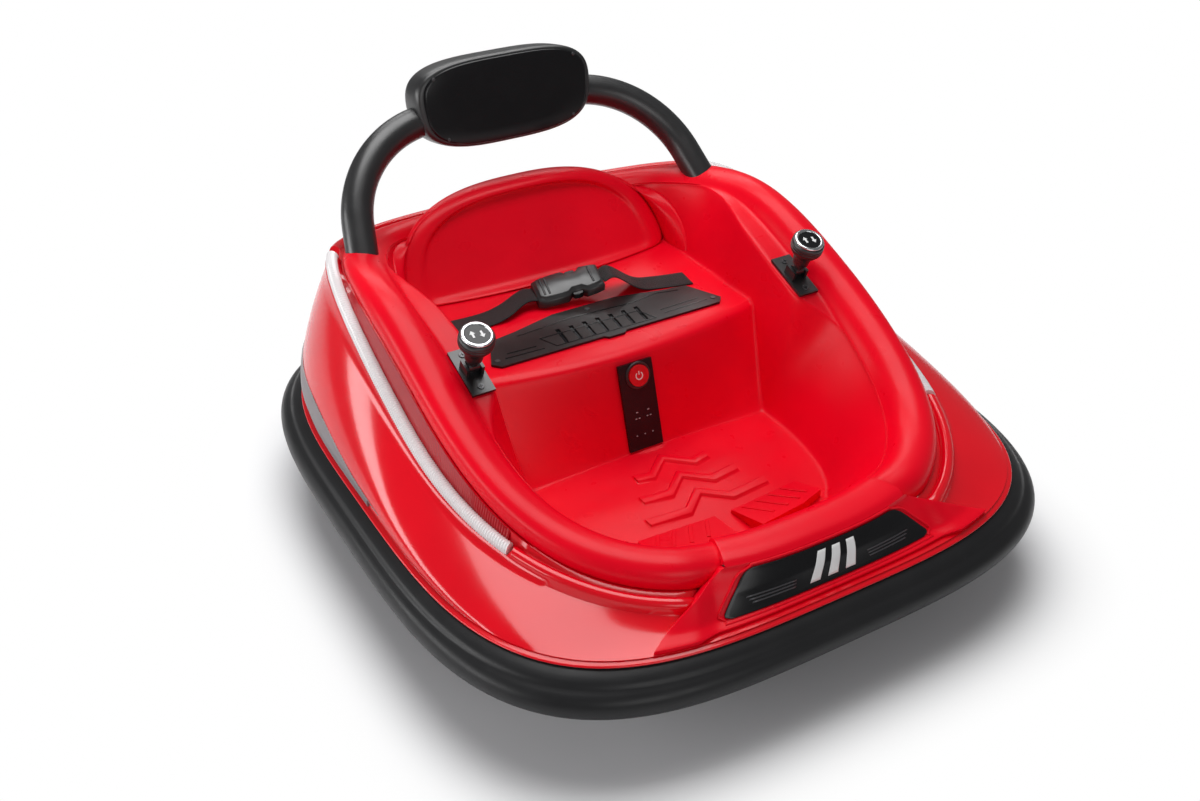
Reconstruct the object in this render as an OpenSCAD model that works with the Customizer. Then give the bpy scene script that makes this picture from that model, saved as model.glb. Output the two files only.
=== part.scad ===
// Child's electric bumper car: a ride-on with twin drive levers, a wrap-round bumper and a roll bar.
// +X is forward, +Y is to the rider's left, +Z is up. The origin is on the floor under the middle of the bumper.

/* [Bumper ring] */
// Length over the bumper ring
bumper_length = 734; // [728:1:750]
// Width over the bumper ring
bumper_width = 696; // [690:1:712]
// Squareness of the bumper's plan: 2 is an ellipse, larger is squarer
bumper_squareness = 3.6; // [3:0.1:4.5]
// Height of the ring's inner top edge above the floor
bumper_top = 111; // [105:1:118]
// Radius of the round bulge that takes the knocks
bumper_roll = 16; // [13:0.5:18]
// Depth of the ring, from its widest line to its inner wall
bumper_depth = 27.5; // [26:0.5:30]

/* [Body shell] */
// Wall thickness of the outer shell
shell_wall = 4; // [3:0.5:5]
// How long the side wall stays out before it turns in: 1 is flat, larger is rounder
wall_roundness = 1.6; // [1.2:0.1:2]
// Height of the band above the flange that holds the side lenses
lens_band = 14; // [10:1:18]
// Radius of the lamp strip and of the bead that carries on from it
lamp_radius = 6.5; // [5:0.5:8]
// Distance of the lamp strip outside the rim's edge, in plan
lamp_offset = 12; // [10:1:16]

/* [Cockpit rim] */
// Set-back of the rim's outer edge from the bumper at the nose
nose_setback = 54; // [49:1:67]
// Set-back of the rim's outer edge from the bumper at the tail
tail_setback = 42; // [39:1:55]
// Set-back of the rim's outer edge from the bumper at each side
side_setback = 88; // [78:1:98]
// Height of the rim's outer edge at the nose
rim_low = 137; // [132:1:142]
// Height of the rim's outer edge beside the seat back
rim_high = 264; // [256:1:270]
// Width of the rim's roll in plan
rim_width = 49; // [47:0.5:51]
// Rise of the rim's crown above its outer edge
rim_crown = 24; // [20:1:28]
// Width of the shelf inside the rim that carries the levers
ledge_width = 28; // [24:1:32]

/* [Cockpit tub] */
// Wall thickness of the tub
tub_wall = 4; // [3:0.5:5]
// Height of the foot well's floor
floor_height = 76; // [73:1:82]
// Set-back of the floor from the rim's outer edge at the front
floor_setback = 91; // [85:1:108]
// Set-back of the floor from the rim's outer edge at each side
floor_side_setback = 108; // [102:1:115]
// Height of the seat
seat_height = 181; // [172:1:188]
// Set-back of the seat from the rim's outer edge at each side
seat_side_setback = 86; // [80:1:92]
// Set-back of the seat from the rim's outer edge at the rear
seat_rear_setback = 53; // [49:1:57]

/* [Running gear] */
// Radius of a drive wheel over its tyre
wheel_radius = 80; // [76:1:84]
// Width of a drive wheel
wheel_width = 44; // [38:1:48]
// Distance of the drive axle in front of the bumper's tail
axle_inset = 207; // [197:1:222]
// Distance of a drive wheel's middle from the bumper's side
wheel_inset = 136; // [133:1:139]
// Radius of a caster's wheel
caster_radius = 25; // [22:0.5:26]
// Distance of the casters' swivels behind the bumper's nose
caster_inset = 162; // [152:1:172]
// Distance of a caster's swivel from the bumper's side
caster_side_inset = 218; // [208:1:228]

/* [Roll bar and headrest] */
// Outside radius of the roll bar's tube
bar_radius = 17.5; // [16:0.5:19]
// Distance of a post's middle inside the rim's outer edge
bar_inset = 21.82; // [20:0.02:24]
// Lean of the bar from upright, in degrees
bar_lean = 43; // [38:1:48]
// Radius of the bar's bends, to the middle of its tube
bar_bend = 130; // [124:1:136]
// Width of the headrest
pad_width = 222; // [210:2:232]
// Height of the headrest
pad_height = 100; // [94:1:106]

/* [Levers] */
// Distance of a lever's middle inside the rim's outer edge
lever_inset = 62.5; // [61.5:0.5:64]
// Radius of a lever's knob
knob_radius = 18; // [16:0.5:20]

/* [Hidden] */
$fn = 64;
gloss_red = "#e3061c";
satin_red = "#ee2233";
black = "#1d1d1f";
grey = "#6f7276";
clear = "#e8e8e8";

// Places that follow from the bumper's outline and the set-backs
rim_front = bumper_length / 2 - nose_setback;
rim_rear = bumper_length / 2 - tail_setback;
rim_half_width = bumper_width / 2 - side_setback;
floor_front = rim_front - floor_setback;
floor_half_width = rim_half_width - floor_side_setback;
seat_half_width = rim_half_width - seat_side_setback;
seat_rear = rim_rear - seat_rear_setback;
axle_back = bumper_length / 2 - axle_inset;
wheel_track = bumper_width - 2 * wheel_inset;
caster_front = bumper_length / 2 - caster_inset;
caster_track = bumper_width - 2 * caster_side_inset;
lever_span = 2 * (rim_half_width - lever_inset);

// Gap left between pieces that seat on each other
seat_gap = 0.3;
// Gap left round a turning pin
pin_gap = 0.25;

// Plan loops: each is the distance from the middle to a rounded outline, at an angle from the nose
function plan_loop(t, front, rear, half, n_front, n_rear) =
    let (n = cos(t) >= 0 ? n_front : n_rear, reach = cos(t) >= 0 ? front : rear)
    pow(pow(abs(cos(t)) / reach, n) + pow(abs(sin(t)) / half, n), -1 / n);
function bumper_loop(t, inset) =
    plan_loop(t, bumper_length / 2 - inset, bumper_length / 2 - inset, bumper_width / 2 - inset,
        bumper_squareness, bumper_squareness);
rim_front_squareness = 2.6;
rim_rear_squareness = 3.6;
function rim_loop(t) =
    plan_loop(t, rim_front, rim_rear, rim_half_width, rim_front_squareness, rim_rear_squareness);

function smooth(a) = let (c = min(1, max(0, a))) c * c * (3 - 2 * c);
function mix(a, b, f) = a + (b - a) * f;
// Angle from the nose, the same on both sides
function folded(t) = let (m = (t % 360 + 360) % 360) m > 180 ? 360 - m : m;

// The rim's outer edge falls in one wave from the seat back to the nose, and dips under the nose panel
rim_wave_start = 125 - rim_rear;
rim_wave_length = rim_front - rim_wave_start - 3;
function rim_edge_at(x) =
    mix(rim_low, rim_high, (1 + cos(180 * (x - rim_wave_start) / rim_wave_length)) / 2);
nose_dip = 4;
nose_angle = 30.5;
function nose_share(t) = 1 - smooth((folded(t) - nose_angle - 2) / 10);
// Behind the roll bar it sinks out of sight of the backrest
rear_sink = 16;
function rim_edge(t) =
    rim_edge_at(rim_loop(t) * cos(t)) - nose_dip * nose_share(t) - rear_sink * smooth((folded(t) - 115) / 40);
nose_tuck = 8;
function rim_reach(t) = rim_loop(t) - nose_tuck * nose_share(t);
// The crown flattens towards the sockets of the roll bar
function crown_rise(t) = rim_crown * (1 - 0.45 * smooth((folded(t) - 100) / 40));

// The lamp strip drops below the rim's edge, most of all beside the levers
lamp_drop_ends = 5;
lamp_drop_middle = 27;
lamp_drop_reach = rim_front - 63;
function lamp_height(t) =
    let (x = min(lamp_drop_reach, max(-lamp_drop_reach, rim_loop(t) * cos(t))))
    rim_edge(t) + 6 * smooth((folded(t) - 115) / 20) - lamp_drop_ends
        - lamp_drop_middle * pow(cos(90 * x / lamp_drop_reach), 2);
// Under the nose panel the bead shrinks and sinks to the flange
nose_bead_height = 117;
function bead_height(t) = mix(lamp_height(t), nose_bead_height, nose_share(t));
function bead_radius(t) = mix(lamp_radius, 1.5, nose_share(t));
function bead_line(t) = rim_reach(t) + mix(lamp_offset, -3, nose_share(t));
lamp_start = 54;
lamp_end = 138;
function in_lamp(t) = folded(t) > lamp_start && folded(t) < lamp_end;

// Solids swept round the middle: a section is a list of [distance, height], one for each angle
function polar_point(t, p) = [p[0] * cos(t), p[0] * sin(t), p[1]];
function ring_faces(n, m, closed) =
    [for (i = [0 : n - (closed ? 1 : 2)]) for (k = [0 : m - 1])
        let (j = (i + 1) % n, l = (k + 1) % m)
        each [[i * m + k, i * m + l, j * m + l], [i * m + k, j * m + l, j * m + k]]];
module swept(rows, closed) {
    n = len(rows);
    m = len(rows[0]);
    points = [for (row = rows) for (p = row) p];
    ends = closed ? [] : [[for (k = [m - 1 : -1 : 0]) k], [for (k = [0 : m - 1]) (n - 1) * m + k]];
    polyhedron(points, concat(ring_faces(n, m, closed), ends));
}
module polar_ring(angles, sections) {
    swept([for (i = [0 : len(angles) - 1]) [for (p = sections[i]) polar_point(angles[i], p)]], true);
}
module polar_arc(angles, sections) {
    swept([for (i = [0 : len(angles) - 1]) [for (p = sections[i]) polar_point(angles[i], p)]], false);
}
ring_step = 5;
ring_angles = [for (t = [0 : ring_step : 360 - ring_step]) t];

// Bumper

roll_height = bumper_top - 10.5 - bumper_roll;
bumper_bottom = roll_height - bumper_roll;
module bumper_ring() {
    profile = concat(
        [[bumper_depth - 4, bumper_bottom]],
        [for (a = [-90 : 18 : 72]) [bumper_roll - bumper_roll * cos(a), roll_height + bumper_roll * sin(a)]],
        [[bumper_roll - 3, roll_height + bumper_roll + 2.5], [bumper_depth, bumper_top],
            [bumper_depth, bumper_bottom + 4]]);
    color(black)
    polar_ring(ring_angles, [for (t = ring_angles) [for (p = profile) [bumper_loop(t, p[0]), p[1]]]]);
}

// Outer shell

lip_height = 2.5;
lip_width = 4.5;
skirt_bottom = 70;
skirt_inset = bumper_depth + seat_gap;
// The lens band fades out in front of the levers
function band_share(t) = smooth((folded(t) - 50) / 35);
function wall_foot(t) =
    [bumper_loop(t, skirt_inset - 2 * band_share(t)), bumper_top + lip_height + 2 + lens_band * band_share(t)];
function wall_head(t) = [bead_line(t) + bead_radius(t), bead_height(t) - 0.8 * bead_radius(t)];
function wall_point(a, b, f) = [mix(a[0], b[0], pow(f, wall_roundness)), mix(a[1], b[1], f)];
function shell_section(t) =
    let (edge = rim_reach(t), high = rim_edge(t), bead = bead_height(t), middle = bead_line(t),
        bend = in_lamp(t) ? -1 : 1, groove = bead_radius(t) + (in_lamp(t) ? seat_gap : 0),
        foot = wall_foot(t), head = wall_head(t),
        inner_foot = [bumper_loop(t, skirt_inset) - shell_wall, bumper_top - 3],
        inner_head = [middle - 2, bead - bead_radius(t) - shell_wall - 0.5])
    concat(
        [[bumper_loop(t, skirt_inset), skirt_bottom],
            [bumper_loop(t, skirt_inset), bumper_top + seat_gap],
            [bumper_loop(t, skirt_inset - lip_width), bumper_top + seat_gap],
            [bumper_loop(t, skirt_inset - lip_width), bumper_top + lip_height],
            [bumper_loop(t, skirt_inset + 1.5), bumper_top + lip_height + 0.6],
            [bumper_loop(t, skirt_inset + 1.5), foot[1] - 0.8]],
        [for (f = [0, 0.2, 0.45, 0.7, 0.88]) wall_point(foot, head, f)],
        [for (a = [15, 65, 115, 165]) [middle + groove * cos(a), bead + bend * groove * sin(a)]],
        [[edge + mix(1, -4, nose_share(t)), high - 1.5], [edge - 6, high - seat_gap],
            [edge - 6, high - seat_gap - shell_wall],
            [edge - mix(2.5, 7.5, nose_share(t)), high - 1.5 - shell_wall]],
        [for (f = [1, 0.7, 0.4, 0]) wall_point(inner_foot, inner_head, f)],
        [[bumper_loop(t, skirt_inset) - shell_wall, skirt_bottom]]);
module body_shell() {
    color(gloss_red)
    polar_ring(ring_angles, [for (t = ring_angles) shell_section(t)]);
}

// Lamp strips and side lenses

module lamp(side) {
    zone = [for (t = ring_angles) if (in_lamp(t) && t < 180) t];
    ordered = side > 0 ? zone : [for (i = [len(zone) - 1 : -1 : 0]) 360 - zone[i]];
    color(clear)
    polar_arc(ordered, [for (t = ordered) [for (a = [-165, -115, -65, -15, 30, 70, 110, 150])
        [bead_line(t) + lamp_radius * cos(a), bead_height(t) + lamp_radius * sin(a)]]]);
}
module lamp_left() {
    lamp(1);
}
module lamp_right() {
    lamp(-1);
}
lens_start = 88;
lens_end = 140;
lens_thickness = 1.2;
module side_lens(side) {
    angles = [for (f = [0 : 1 / 10 : 1.001]) side * mix(lens_start, lens_end, f)];
    ordered = side > 0 ? angles : [for (i = [len(angles) - 1 : -1 : 0]) angles[i]];
    low = bumper_top + lip_height + 2;
    color(clear)
    polar_arc(ordered, [for (t = ordered)
        let (out = bumper_loop(t, skirt_inset + 1.5) + seat_gap, top = wall_foot(t)[1] - 2.5)
        [[out, low], [out + lens_thickness, low], [out + lens_thickness, top], [out, top]]]);
}
module side_lens_left() {
    side_lens(1);
}
module side_lens_right() {
    side_lens(-1);
}

// Cockpit tub: rim, walls, foot well and seat in one moulding

// Rise of the shelf above the rim's edge
shelf_rise = 2.5;
seat_foot = 18.5;
seat_edge = -42;
// The seat's front corner, from the face to the flat of the seat: [x, drop below the seat]
seat_corner = [[-11.5, 9], [-15, 3.5], [-22, 0.6]];
// The seat's front bows: its ends lie this far behind its middle
seat_bow = 24;
function ledge_share(t) = smooth((folded(t) - 72) / 12) * (1 - smooth((folded(t) - 114) / 20));
function ledge(t) = ledge_width * ledge_share(t);
// The rim narrows behind the roll bar
function breadth(t) = rim_width * (1 - 0.3 * smooth((folded(t) - 138) / 12));
// The shelf keeps one slope along the car, so a flat bracket sits on it
function shelf_height(t, r) =
    rim_edge(t) + shelf_rise + ledge_share(t) * (rim_edge_at(r * cos(t)) - rim_edge_at(rim_loop(t) * cos(t)));
function seat_line(z) =
    mix(floor_half_width, seat_half_width, (z - floor_height) / (seat_height - floor_height));
front_angles = concat([-83], [for (t = [-80 : 5 : 80]) t], [83]);
corner_angles = [88, 93, 98];
rear_angles = concat([104], [for (t = [110 : 5 : 250]) t], [256]);
tub_angles = concat(front_angles, corner_angles, rear_angles, [for (i = [2 : -1 : 0]) -corner_angles[i] + 360]);
front_count = len(front_angles);
rear_first = front_count + 3;
rear_count = len(rear_angles);
tub_count = len(tub_angles);
function corner_index(i) = i < rear_first ? i - front_count : tub_count - 1 - i;
function is_front(i) = i < front_count;
function is_rear(i) = i >= rear_first && i < rear_first + rear_count;
// Where the wall meets the floor or the seat
function tub_foot(i) =
    let (t = tub_angles[i])
    is_front(i) ? polar_point(t, [plan_loop(t, floor_front, floor_front, floor_half_width, 3, 3), floor_height]) :
    is_rear(i) ? polar_point(t, [plan_loop(t, seat_rear, seat_rear, seat_half_width, 10, 10), seat_height]) :
    let (c = seat_corner[corner_index(i)], z = seat_height - c[1])
    [c[0] - seat_bow, sign(sin(t)) * seat_line(z), z];
function tub_middle(i) =
    is_front(i) ? [seat_foot, 0, floor_height] :
    is_rear(i) ? [seat_edge, 0, seat_height] :
    let (c = seat_corner[corner_index(i)]) [c[0], 0, seat_height - c[1]];
function rim_points(t, edge, high, rise) =
    let (b = breadth(t), inner = edge - b, shelf_end = inner - 1.5 - ledge(t))
    [[edge, high], [edge + 1, high + 0.35 * rise], [edge - 0.05 * b, high + 0.68 * rise],
        [edge - 0.2 * b, high + 0.92 * rise], [edge - 0.42 * b, high + rise],
        [edge - 0.66 * b, high + 0.9 * rise], [edge - 0.86 * b, high + 0.62 * rise],
        [inner, shelf_height(t, inner)], [shelf_end, shelf_height(t, shelf_end) - 0.4]];
function rim_under(t, edge, high, rise) =
    let (w = tub_wall, b = breadth(t), inner = edge - b, shelf_end = inner - 1.5 - ledge(t))
    [[edge - w, high], [edge - w + 0.6, high + 0.3 * rise], [edge - 0.05 * b - w, high + 0.68 * rise - 0.6 * w],
        [edge - 0.2 * b - 0.4 * w, high + 0.92 * rise - 0.9 * w], [edge - 0.42 * b, high + rise - w],
        [edge - 0.66 * b + 0.3 * w, high + 0.9 * rise - 0.9 * w],
        [edge - 0.86 * b + 0.6 * w, high + 0.62 * rise - 0.8 * w],
        [inner + 0.6 * w, shelf_height(t, inner) - w], [shelf_end + w, shelf_height(t, shelf_end) - 0.4 - w]];
// From the wall's foot to the middle, bowed where the two lie at different x
function floor_line(foot, middle) =
    [for (f = [0, 0.3, 0.65]) [mix(middle[0], foot[0], pow(1 - f, 2)), mix(foot[1], middle[1], f), foot[2]]];
under_shift = [-tub_wall, 0, -tub_wall];
function tub_top(i) =
    let (t = tub_angles[i], rim = rim_points(t, rim_reach(t), rim_edge(t), crown_rise(t)),
        top = polar_point(t, rim[8]), foot = tub_foot(i))
    concat([for (p = rim) polar_point(t, p)],
        [for (f = [0.35, 0.7, 0.9]) mix(top, foot, f)], floor_line(foot, tub_middle(i)));
function tub_under(i) =
    let (t = tub_angles[i], rim = rim_under(t, rim_reach(t), rim_edge(t), crown_rise(t)),
        top = polar_point(t, rim[8]), foot = tub_foot(i), w = tub_wall,
        low = [foot[0] + w * cos(t), foot[1] + w * sin(t), foot[2] - w])
    concat([for (p = rim) polar_point(t, p)],
        [for (f = [0.35, 0.7, 0.9]) mix(top, low, f)], floor_line(low, tub_middle(i) + under_shift));
module cockpit_tub() {
    m = 15;
    n = tub_count;
    middles = [tub_middle(0), tub_middle(front_count), tub_middle(front_count + 1), tub_middle(front_count + 2),
        tub_middle(rear_first)];
    points = concat(
        [for (i = [0 : n - 1]) each tub_top(i)],
        [for (i = [0 : n - 1]) each tub_under(i)],
        middles, [for (p = middles) p + under_shift]);
    below = n * m;
    centre = 2 * n * m;
    function hub(i) = is_front(i) ? centre : is_rear(i) ? centre + 4 : centre + 1 + corner_index(i);
    function quad(a, b, c, d) = [[a, b, c], [a, c, d]];
    walls = [for (i = [0 : n - 1]) for (k = [0 : m - 2])
        let (j = (i + 1) % n, a = i * m + k, b = j * m + k)
        each concat(quad(a, a + 1, b + 1, b), quad(below + a, below + b, below + b + 1, below + a + 1))];
    lips = [for (i = [0 : n - 1])
        let (j = (i + 1) % n)
        each quad(i * m, j * m, below + j * m, below + i * m)];
    floors = [for (i = [0 : n - 1])
        let (j = (i + 1) % n, a = i * m + m - 1, b = j * m + m - 1, p = hub(i), q = hub(j))
        each p == q ? [[a, p, b], [below + a, below + b, p + 5]] :
            concat(quad(a, p, q, b), quad(below + a, below + b, q + 5, p + 5))];
    color(satin_red)
    difference() {
        polyhedron(points, concat(walls, lips, floors));
        bar_sockets(seat_gap);
    }
}

// Nose panel and the plate on it

// A sheet between two grids of points
module slab(top, under) {
    n = len(top);
    m = len(top[0]);
    below = n * m;
    function quad(a, b, c, d) = [[a, b, c], [a, c, d]];
    skins = [for (i = [0 : n - 2]) for (k = [0 : m - 2])
        let (a = i * m + k, b = a + m)
        each concat(quad(a, b, b + 1, a + 1), quad(below + a, below + a + 1, below + b + 1, below + b))];
    long_edges = [for (i = [0 : n - 2])
        let (a = i * m, b = a + m, c = a + m - 1, d = c + m)
        each concat(quad(a, below + a, below + b, b), quad(c, d, below + d, below + c))];
    short_edges = [for (k = [0 : m - 2])
        let (a = k, b = (n - 1) * m + k)
        each concat(quad(a, a + 1, below + a + 1, below + a), quad(b, below + b, below + b + 1, b + 1))];
    polyhedron([for (row = concat(top, under)) for (p = row) p], concat(skins, long_edges, short_edges));
}
nose_steps = [for (f = [-1 : 1 / 8 : 1.001]) f];
nose_top_angle = 19;
face_foot_inset = 16;
face_foot_height = 116.4;
nose_thickness = 4;
// The face of the nose from its shoulder (0) down to its foot (1)
function nose_face(t, f) =
    let (edge = rim_loop(t) - 4, high = rim_edge_at(rim_loop(t) * cos(t)) + 0.78 * rim_crown,
        foot = bumper_loop(t, skirt_inset + face_foot_inset))
    [mix(edge, foot, pow(f, 1.5)), mix(high, face_foot_height, f)];
function nose_skin(t) =
    let (edge = rim_loop(t), tuck = rim_reach(t), high = rim_edge_at(edge * cos(t)), rise = rim_crown)
    concat(
        [[tuck - 0.93 * rim_width, high - nose_dip + 0.39 * rise + 2.4],
            [tuck - 0.86 * rim_width, high - nose_dip + 0.62 * rise + 3],
            [tuck - 0.64 * rim_width, high + 0.92 * rise - 0.4],
            [mix(tuck, edge, 0.5) - 0.4 * rim_width, high + rise],
            [edge - 0.22 * rim_width, high + 0.95 * rise]],
        [for (f = [0, 0.25, 0.5, 0.75, 1]) nose_face(t, f)]);
function nose_back(t) =
    let (tuck = rim_reach(t), high = rim_edge_at(rim_loop(t) * cos(t)) - nose_dip, rise = rim_crown)
    concat(
        [[tuck - 0.93 * rim_width, high + 0.39 * rise + 1.2], [tuck - 0.86 * rim_width, high + 0.62 * rise + 0.9],
            [tuck - 0.66 * rim_width, high + 0.9 * rise + 0.8], [tuck - 0.42 * rim_width, high + rise + 0.7],
            [tuck - 0.2 * rim_width, high + 0.92 * rise + 0.7]],
        [[tuck + 0.5, high + 0.8 * rise]],
        [for (f = [0.25, 0.5, 0.75, 1]) nose_face(t, f) - [nose_thickness, 0]]);
// The panel widens from its shoulder to its foot
nose_widths = concat([for (k = [0 : 4]) nose_top_angle],
    [for (f = [0, 0.25, 0.5, 0.75, 1]) mix(nose_top_angle, nose_angle, f)]);
module nose_panel() {
    color(satin_red)
    slab([for (f = nose_steps) [for (k = [0 : 9]) let (t = f * nose_widths[k]) polar_point(t, nose_skin(t)[k])]],
        [for (f = nose_steps) [for (k = [0 : 9]) let (t = f * nose_widths[k]) polar_point(t, nose_back(t)[k])]]);
}
plate_top = 0.1;
plate_foot = 0.88;
plate_top_angle = 14.5;
plate_foot_angle = 20.5;
plate_thickness = 1.2;
module nose_plate() {
    function spot(s, f, lift) =
        let (t = s * mix(plate_top_angle, plate_foot_angle, (f - plate_top) / (plate_foot - plate_top)))
        polar_point(t, nose_face(t, f) + [lift, 0.3 * lift]);
    levels = [for (f = [plate_top : (plate_foot - plate_top) / 6 : plate_foot + 0.001]) f];
    steps = [for (s = [-1 : 1 / 8 : 1.001]) s];
    color(black)
    slab([for (s = steps) [for (f = levels) spot(s, f, 1 + plate_thickness)]],
        [for (s = steps) [for (f = levels) spot(s, f, 1)]]);
}

// Seat: backrest, plate, panel and belt

// A solid stacked from closed loops of points, with a middle point at each end
module stacked(loops) {
    n = len(loops);
    m = len(loops[0]);
    function centre(loop) = [for (j = [0 : 2]) let (v = [for (p = loop) p[j]]) (max(v) + min(v)) / 2];
    points = concat([for (loop = loops) each loop], [centre(loops[0]), centre(loops[n - 1])]);
    sides = [for (i = [0 : n - 2]) for (k = [0 : m - 1])
        let (l = (k + 1) % m, a = i * m, b = a + m)
        each [[a + k, b + l, a + l], [a + k, b + k, b + l]]];
    ends = [for (k = [0 : m - 1])
        let (l = (k + 1) % m)
        each [[n * m, k, l], [n * m + 1, (n - 1) * m + l, (n - 1) * m + k]]];
    polyhedron(points, concat(sides, ends));
}
backrest_half_width = seat_half_width - 3;
backrest_rise = 99;
backrest_foot = 75 - seat_rear;
backrest_slope = 0.76;
backrest_base = seat_height + seat_gap;
function backrest_front(y, z) =
    backrest_foot - backrest_slope * (z - backrest_base) - 18 * pow(y / backrest_half_width, 2);
// A point of the arch at an angle, drawn in by a scale and set back by a depth
function backrest_spot(y, z, depth) =
    [backrest_front(y, z) - depth * (1 - 0.75 * pow(y / backrest_half_width, 2)), y, z];
function backrest_arch(a, s, depth, foot) =
    let (n = 2.6, across = abs(cos(a)) / backrest_half_width, up = abs(sin(a)) / backrest_rise,
        r = s * pow(pow(across, n) + pow(up, n), -1 / n))
    backrest_spot(r * cos(a), foot + r * sin(a), depth);
function backrest_loop(s, depth, foot) =
    concat([for (a = [0 : 7.5 : 180]) backrest_arch(a, s, depth, foot)],
        [for (f = [-0.75 : 0.25 : 0.76]) backrest_spot(f * s * backrest_half_width, foot, depth)]);
module backrest() {
    // From the back to the hollow of the front: scale, depth behind the front, lift of the lower edge
    layers = [[0.9, 28, 0], [0.97, 26, 0], [1, 20, 0], [1, 8, 0], [0.985, 2, 0], [0.95, -1, 1.5], [0.9, 0, 3],
        [0.86, 5, 5], [0.45, 7, 16]];
    color(satin_red)
    stacked([for (layer = layers) backrest_loop(layer[0], layer[1], backrest_base + layer[2])]);
}
seat_plate_front = seat_edge - 12;
seat_plate_rear = seat_plate_front - 70;
seat_plate_half = seat_half_width - 28;
slot_step = (seat_plate_half - 29.1) / 7;
seat_plate_thickness = 2.5;
module seat_plate() {
    color(black)
    translate([0, 0, seat_height + seat_gap])
    linear_extrude(seat_plate_thickness)
    difference() {
        polygon([[seat_plate_front, -seat_plate_half + 8], [seat_plate_front, -14], [seat_plate_front + 4, -10],
            [seat_plate_front + 4, 10], [seat_plate_front, 14], [seat_plate_front, seat_plate_half - 8],
            [seat_plate_front - 9, seat_plate_half], [seat_plate_rear + 18, seat_plate_half - 20],
            [seat_plate_rear + 13, seat_plate_half - 52], [seat_plate_rear, 40], [seat_plate_rear, -40],
            [seat_plate_rear + 13, 52 - seat_plate_half], [seat_plate_rear + 18, 20 - seat_plate_half],
            [seat_plate_front - 9, -seat_plate_half]]);
        for (i = [-3 : 3])
            translate([seat_plate_front - 23, slot_step * i - 3])
            rotate(-7)
            square([31, 5], center = true);
    }
}
face_lean = atan((seat_foot - seat_corner[0][0]) / (seat_height - seat_corner[0][1] - floor_height));
panel_width = 42;
panel_height = 98;
panel_thickness = 3;
panel_middle = -4;
// Lays a piece on the seat's front face: x is out of the face, z is up along it
module on_seat_face() {
    translate([seat_foot, 0, floor_height])
    rotate([0, -face_lean, 0])
    translate([seat_gap, 0, 0])
    children();
}
module control_panel() {
    color(black)
    on_seat_face()
    translate([0, panel_middle - panel_width / 2, 1.5])
    cube([panel_thickness, panel_width, panel_height]);
}
button_radius = 12;
module power_button() {
    color(gloss_red)
    on_seat_face()
    translate([panel_thickness + seat_gap, panel_middle + 1.5, panel_height - 13.5])
    rotate([0, 90, 0])
    cylinder(h = 3, r = button_radius);
}
// A flat strap through a list of [x, y, z, turn]: the turn is the strap's slant in plan
strap_width = 30;
strap_thickness = 1.6;
module strap(path) {
    rows = [for (p = path)
        let (middle = [p[0], p[1], p[2]], across = strap_width / 2 * [cos(p[3]), sin(p[3]), 0],
            up = [0, 0, strap_thickness])
        [middle - across, middle + across, middle + across + up, middle - across + up]];
    color(black)
    swept(rows, false);
}
belt_base = seat_height + seat_gap;
buckle_length = 78;
buckle_width = 40;
buckle_height = 13;
buckle_place = [backrest_foot + 45, -4, belt_base];
// The straps end beside the seat's walls
strap_end = seat_half_width - 14;
buckle_turn = -12;
// A point beside the buckle, in the buckle's own directions
function by_buckle(y, z) =
    [buckle_place[0] - y * sin(buckle_turn), buckle_place[1] + y * cos(buckle_turn), belt_base + z, buckle_turn];
strap_reach = buckle_length / 2 + seat_gap;
module belt_left() {
    strap([by_buckle(strap_reach, 6), by_buckle(strap_reach + 14, 7),
        [buckle_place[0] + 16, 78, belt_base + 4, -14], [buckle_place[0] + 21, 104, belt_base, -12],
        [buckle_place[0] + 30, strap_end - 20, belt_base, -8]]);
}
module belt_right() {
    strap([[buckle_place[0] - 4, -strap_end, belt_base, 4], [buckle_place[0] - 1, -112, belt_base, 0],
        [buckle_place[0] - 1, -86, belt_base + 4, -4],
        by_buckle(-strap_reach - 14, 7), by_buckle(-strap_reach, 6)]);
}
// Half of the buckle's outline from the latch's end to the clip's end, with the gap that shows the clip's arms
function buckle_side(inset) =
    let (w = buckle_width / 2 - inset, l = buckle_length / 2 - inset)
    [[w - 4, -l], [w - 1, -l + 6], [w, -l + 20], [w, -4], [w - 5, 1], [w - 5, 13], [w, 18], [w - 1, l - 8],
        [w - 3, l]];
function buckle_outline(inset) =
    let (half = buckle_side(inset))
    concat(half, [for (i = [len(half) - 1 : -1 : 0]) [-half[i][0], half[i][1]]]);
buckle_shoulder = 3;
module buckle() {
    color(black)
    translate(buckle_place)
    rotate(buckle_turn) {
        linear_extrude(buckle_height - buckle_shoulder)
        polygon(buckle_outline(0));
        linear_extrude(buckle_height)
        polygon(buckle_outline(buckle_shoulder));
    }
}

// Foot well

tread_height = 3;
tread_width = 11;
// The treads share the floor between the seat and the foot pads
pads_rear = floor_front - 72;
tread_step = (pads_rear - seat_foot - 28) / 3;
// Each tread: where its point lies, and half its width
treads = [for (i = [0 : 2]) [seat_foot + 19.5 + i * tread_step, floor_half_width - 108 + 14 * i]];
module floor_treads() {
    color(satin_red)
    translate([0, 0, floor_height + seat_gap])
    linear_extrude(tread_height)
    for (tread = treads) {
        line = [[19, -tread[1]], [23, -26], [0, 0], [23, 26], [19, tread[1]]];
        polygon(concat([for (p = line) p + [tread[0], 0]],
            [for (i = [4 : -1 : 0]) line[i] + [tread[0] + tread_width, 0]]));
    }
}
pad_slope = 0.25;
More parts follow.
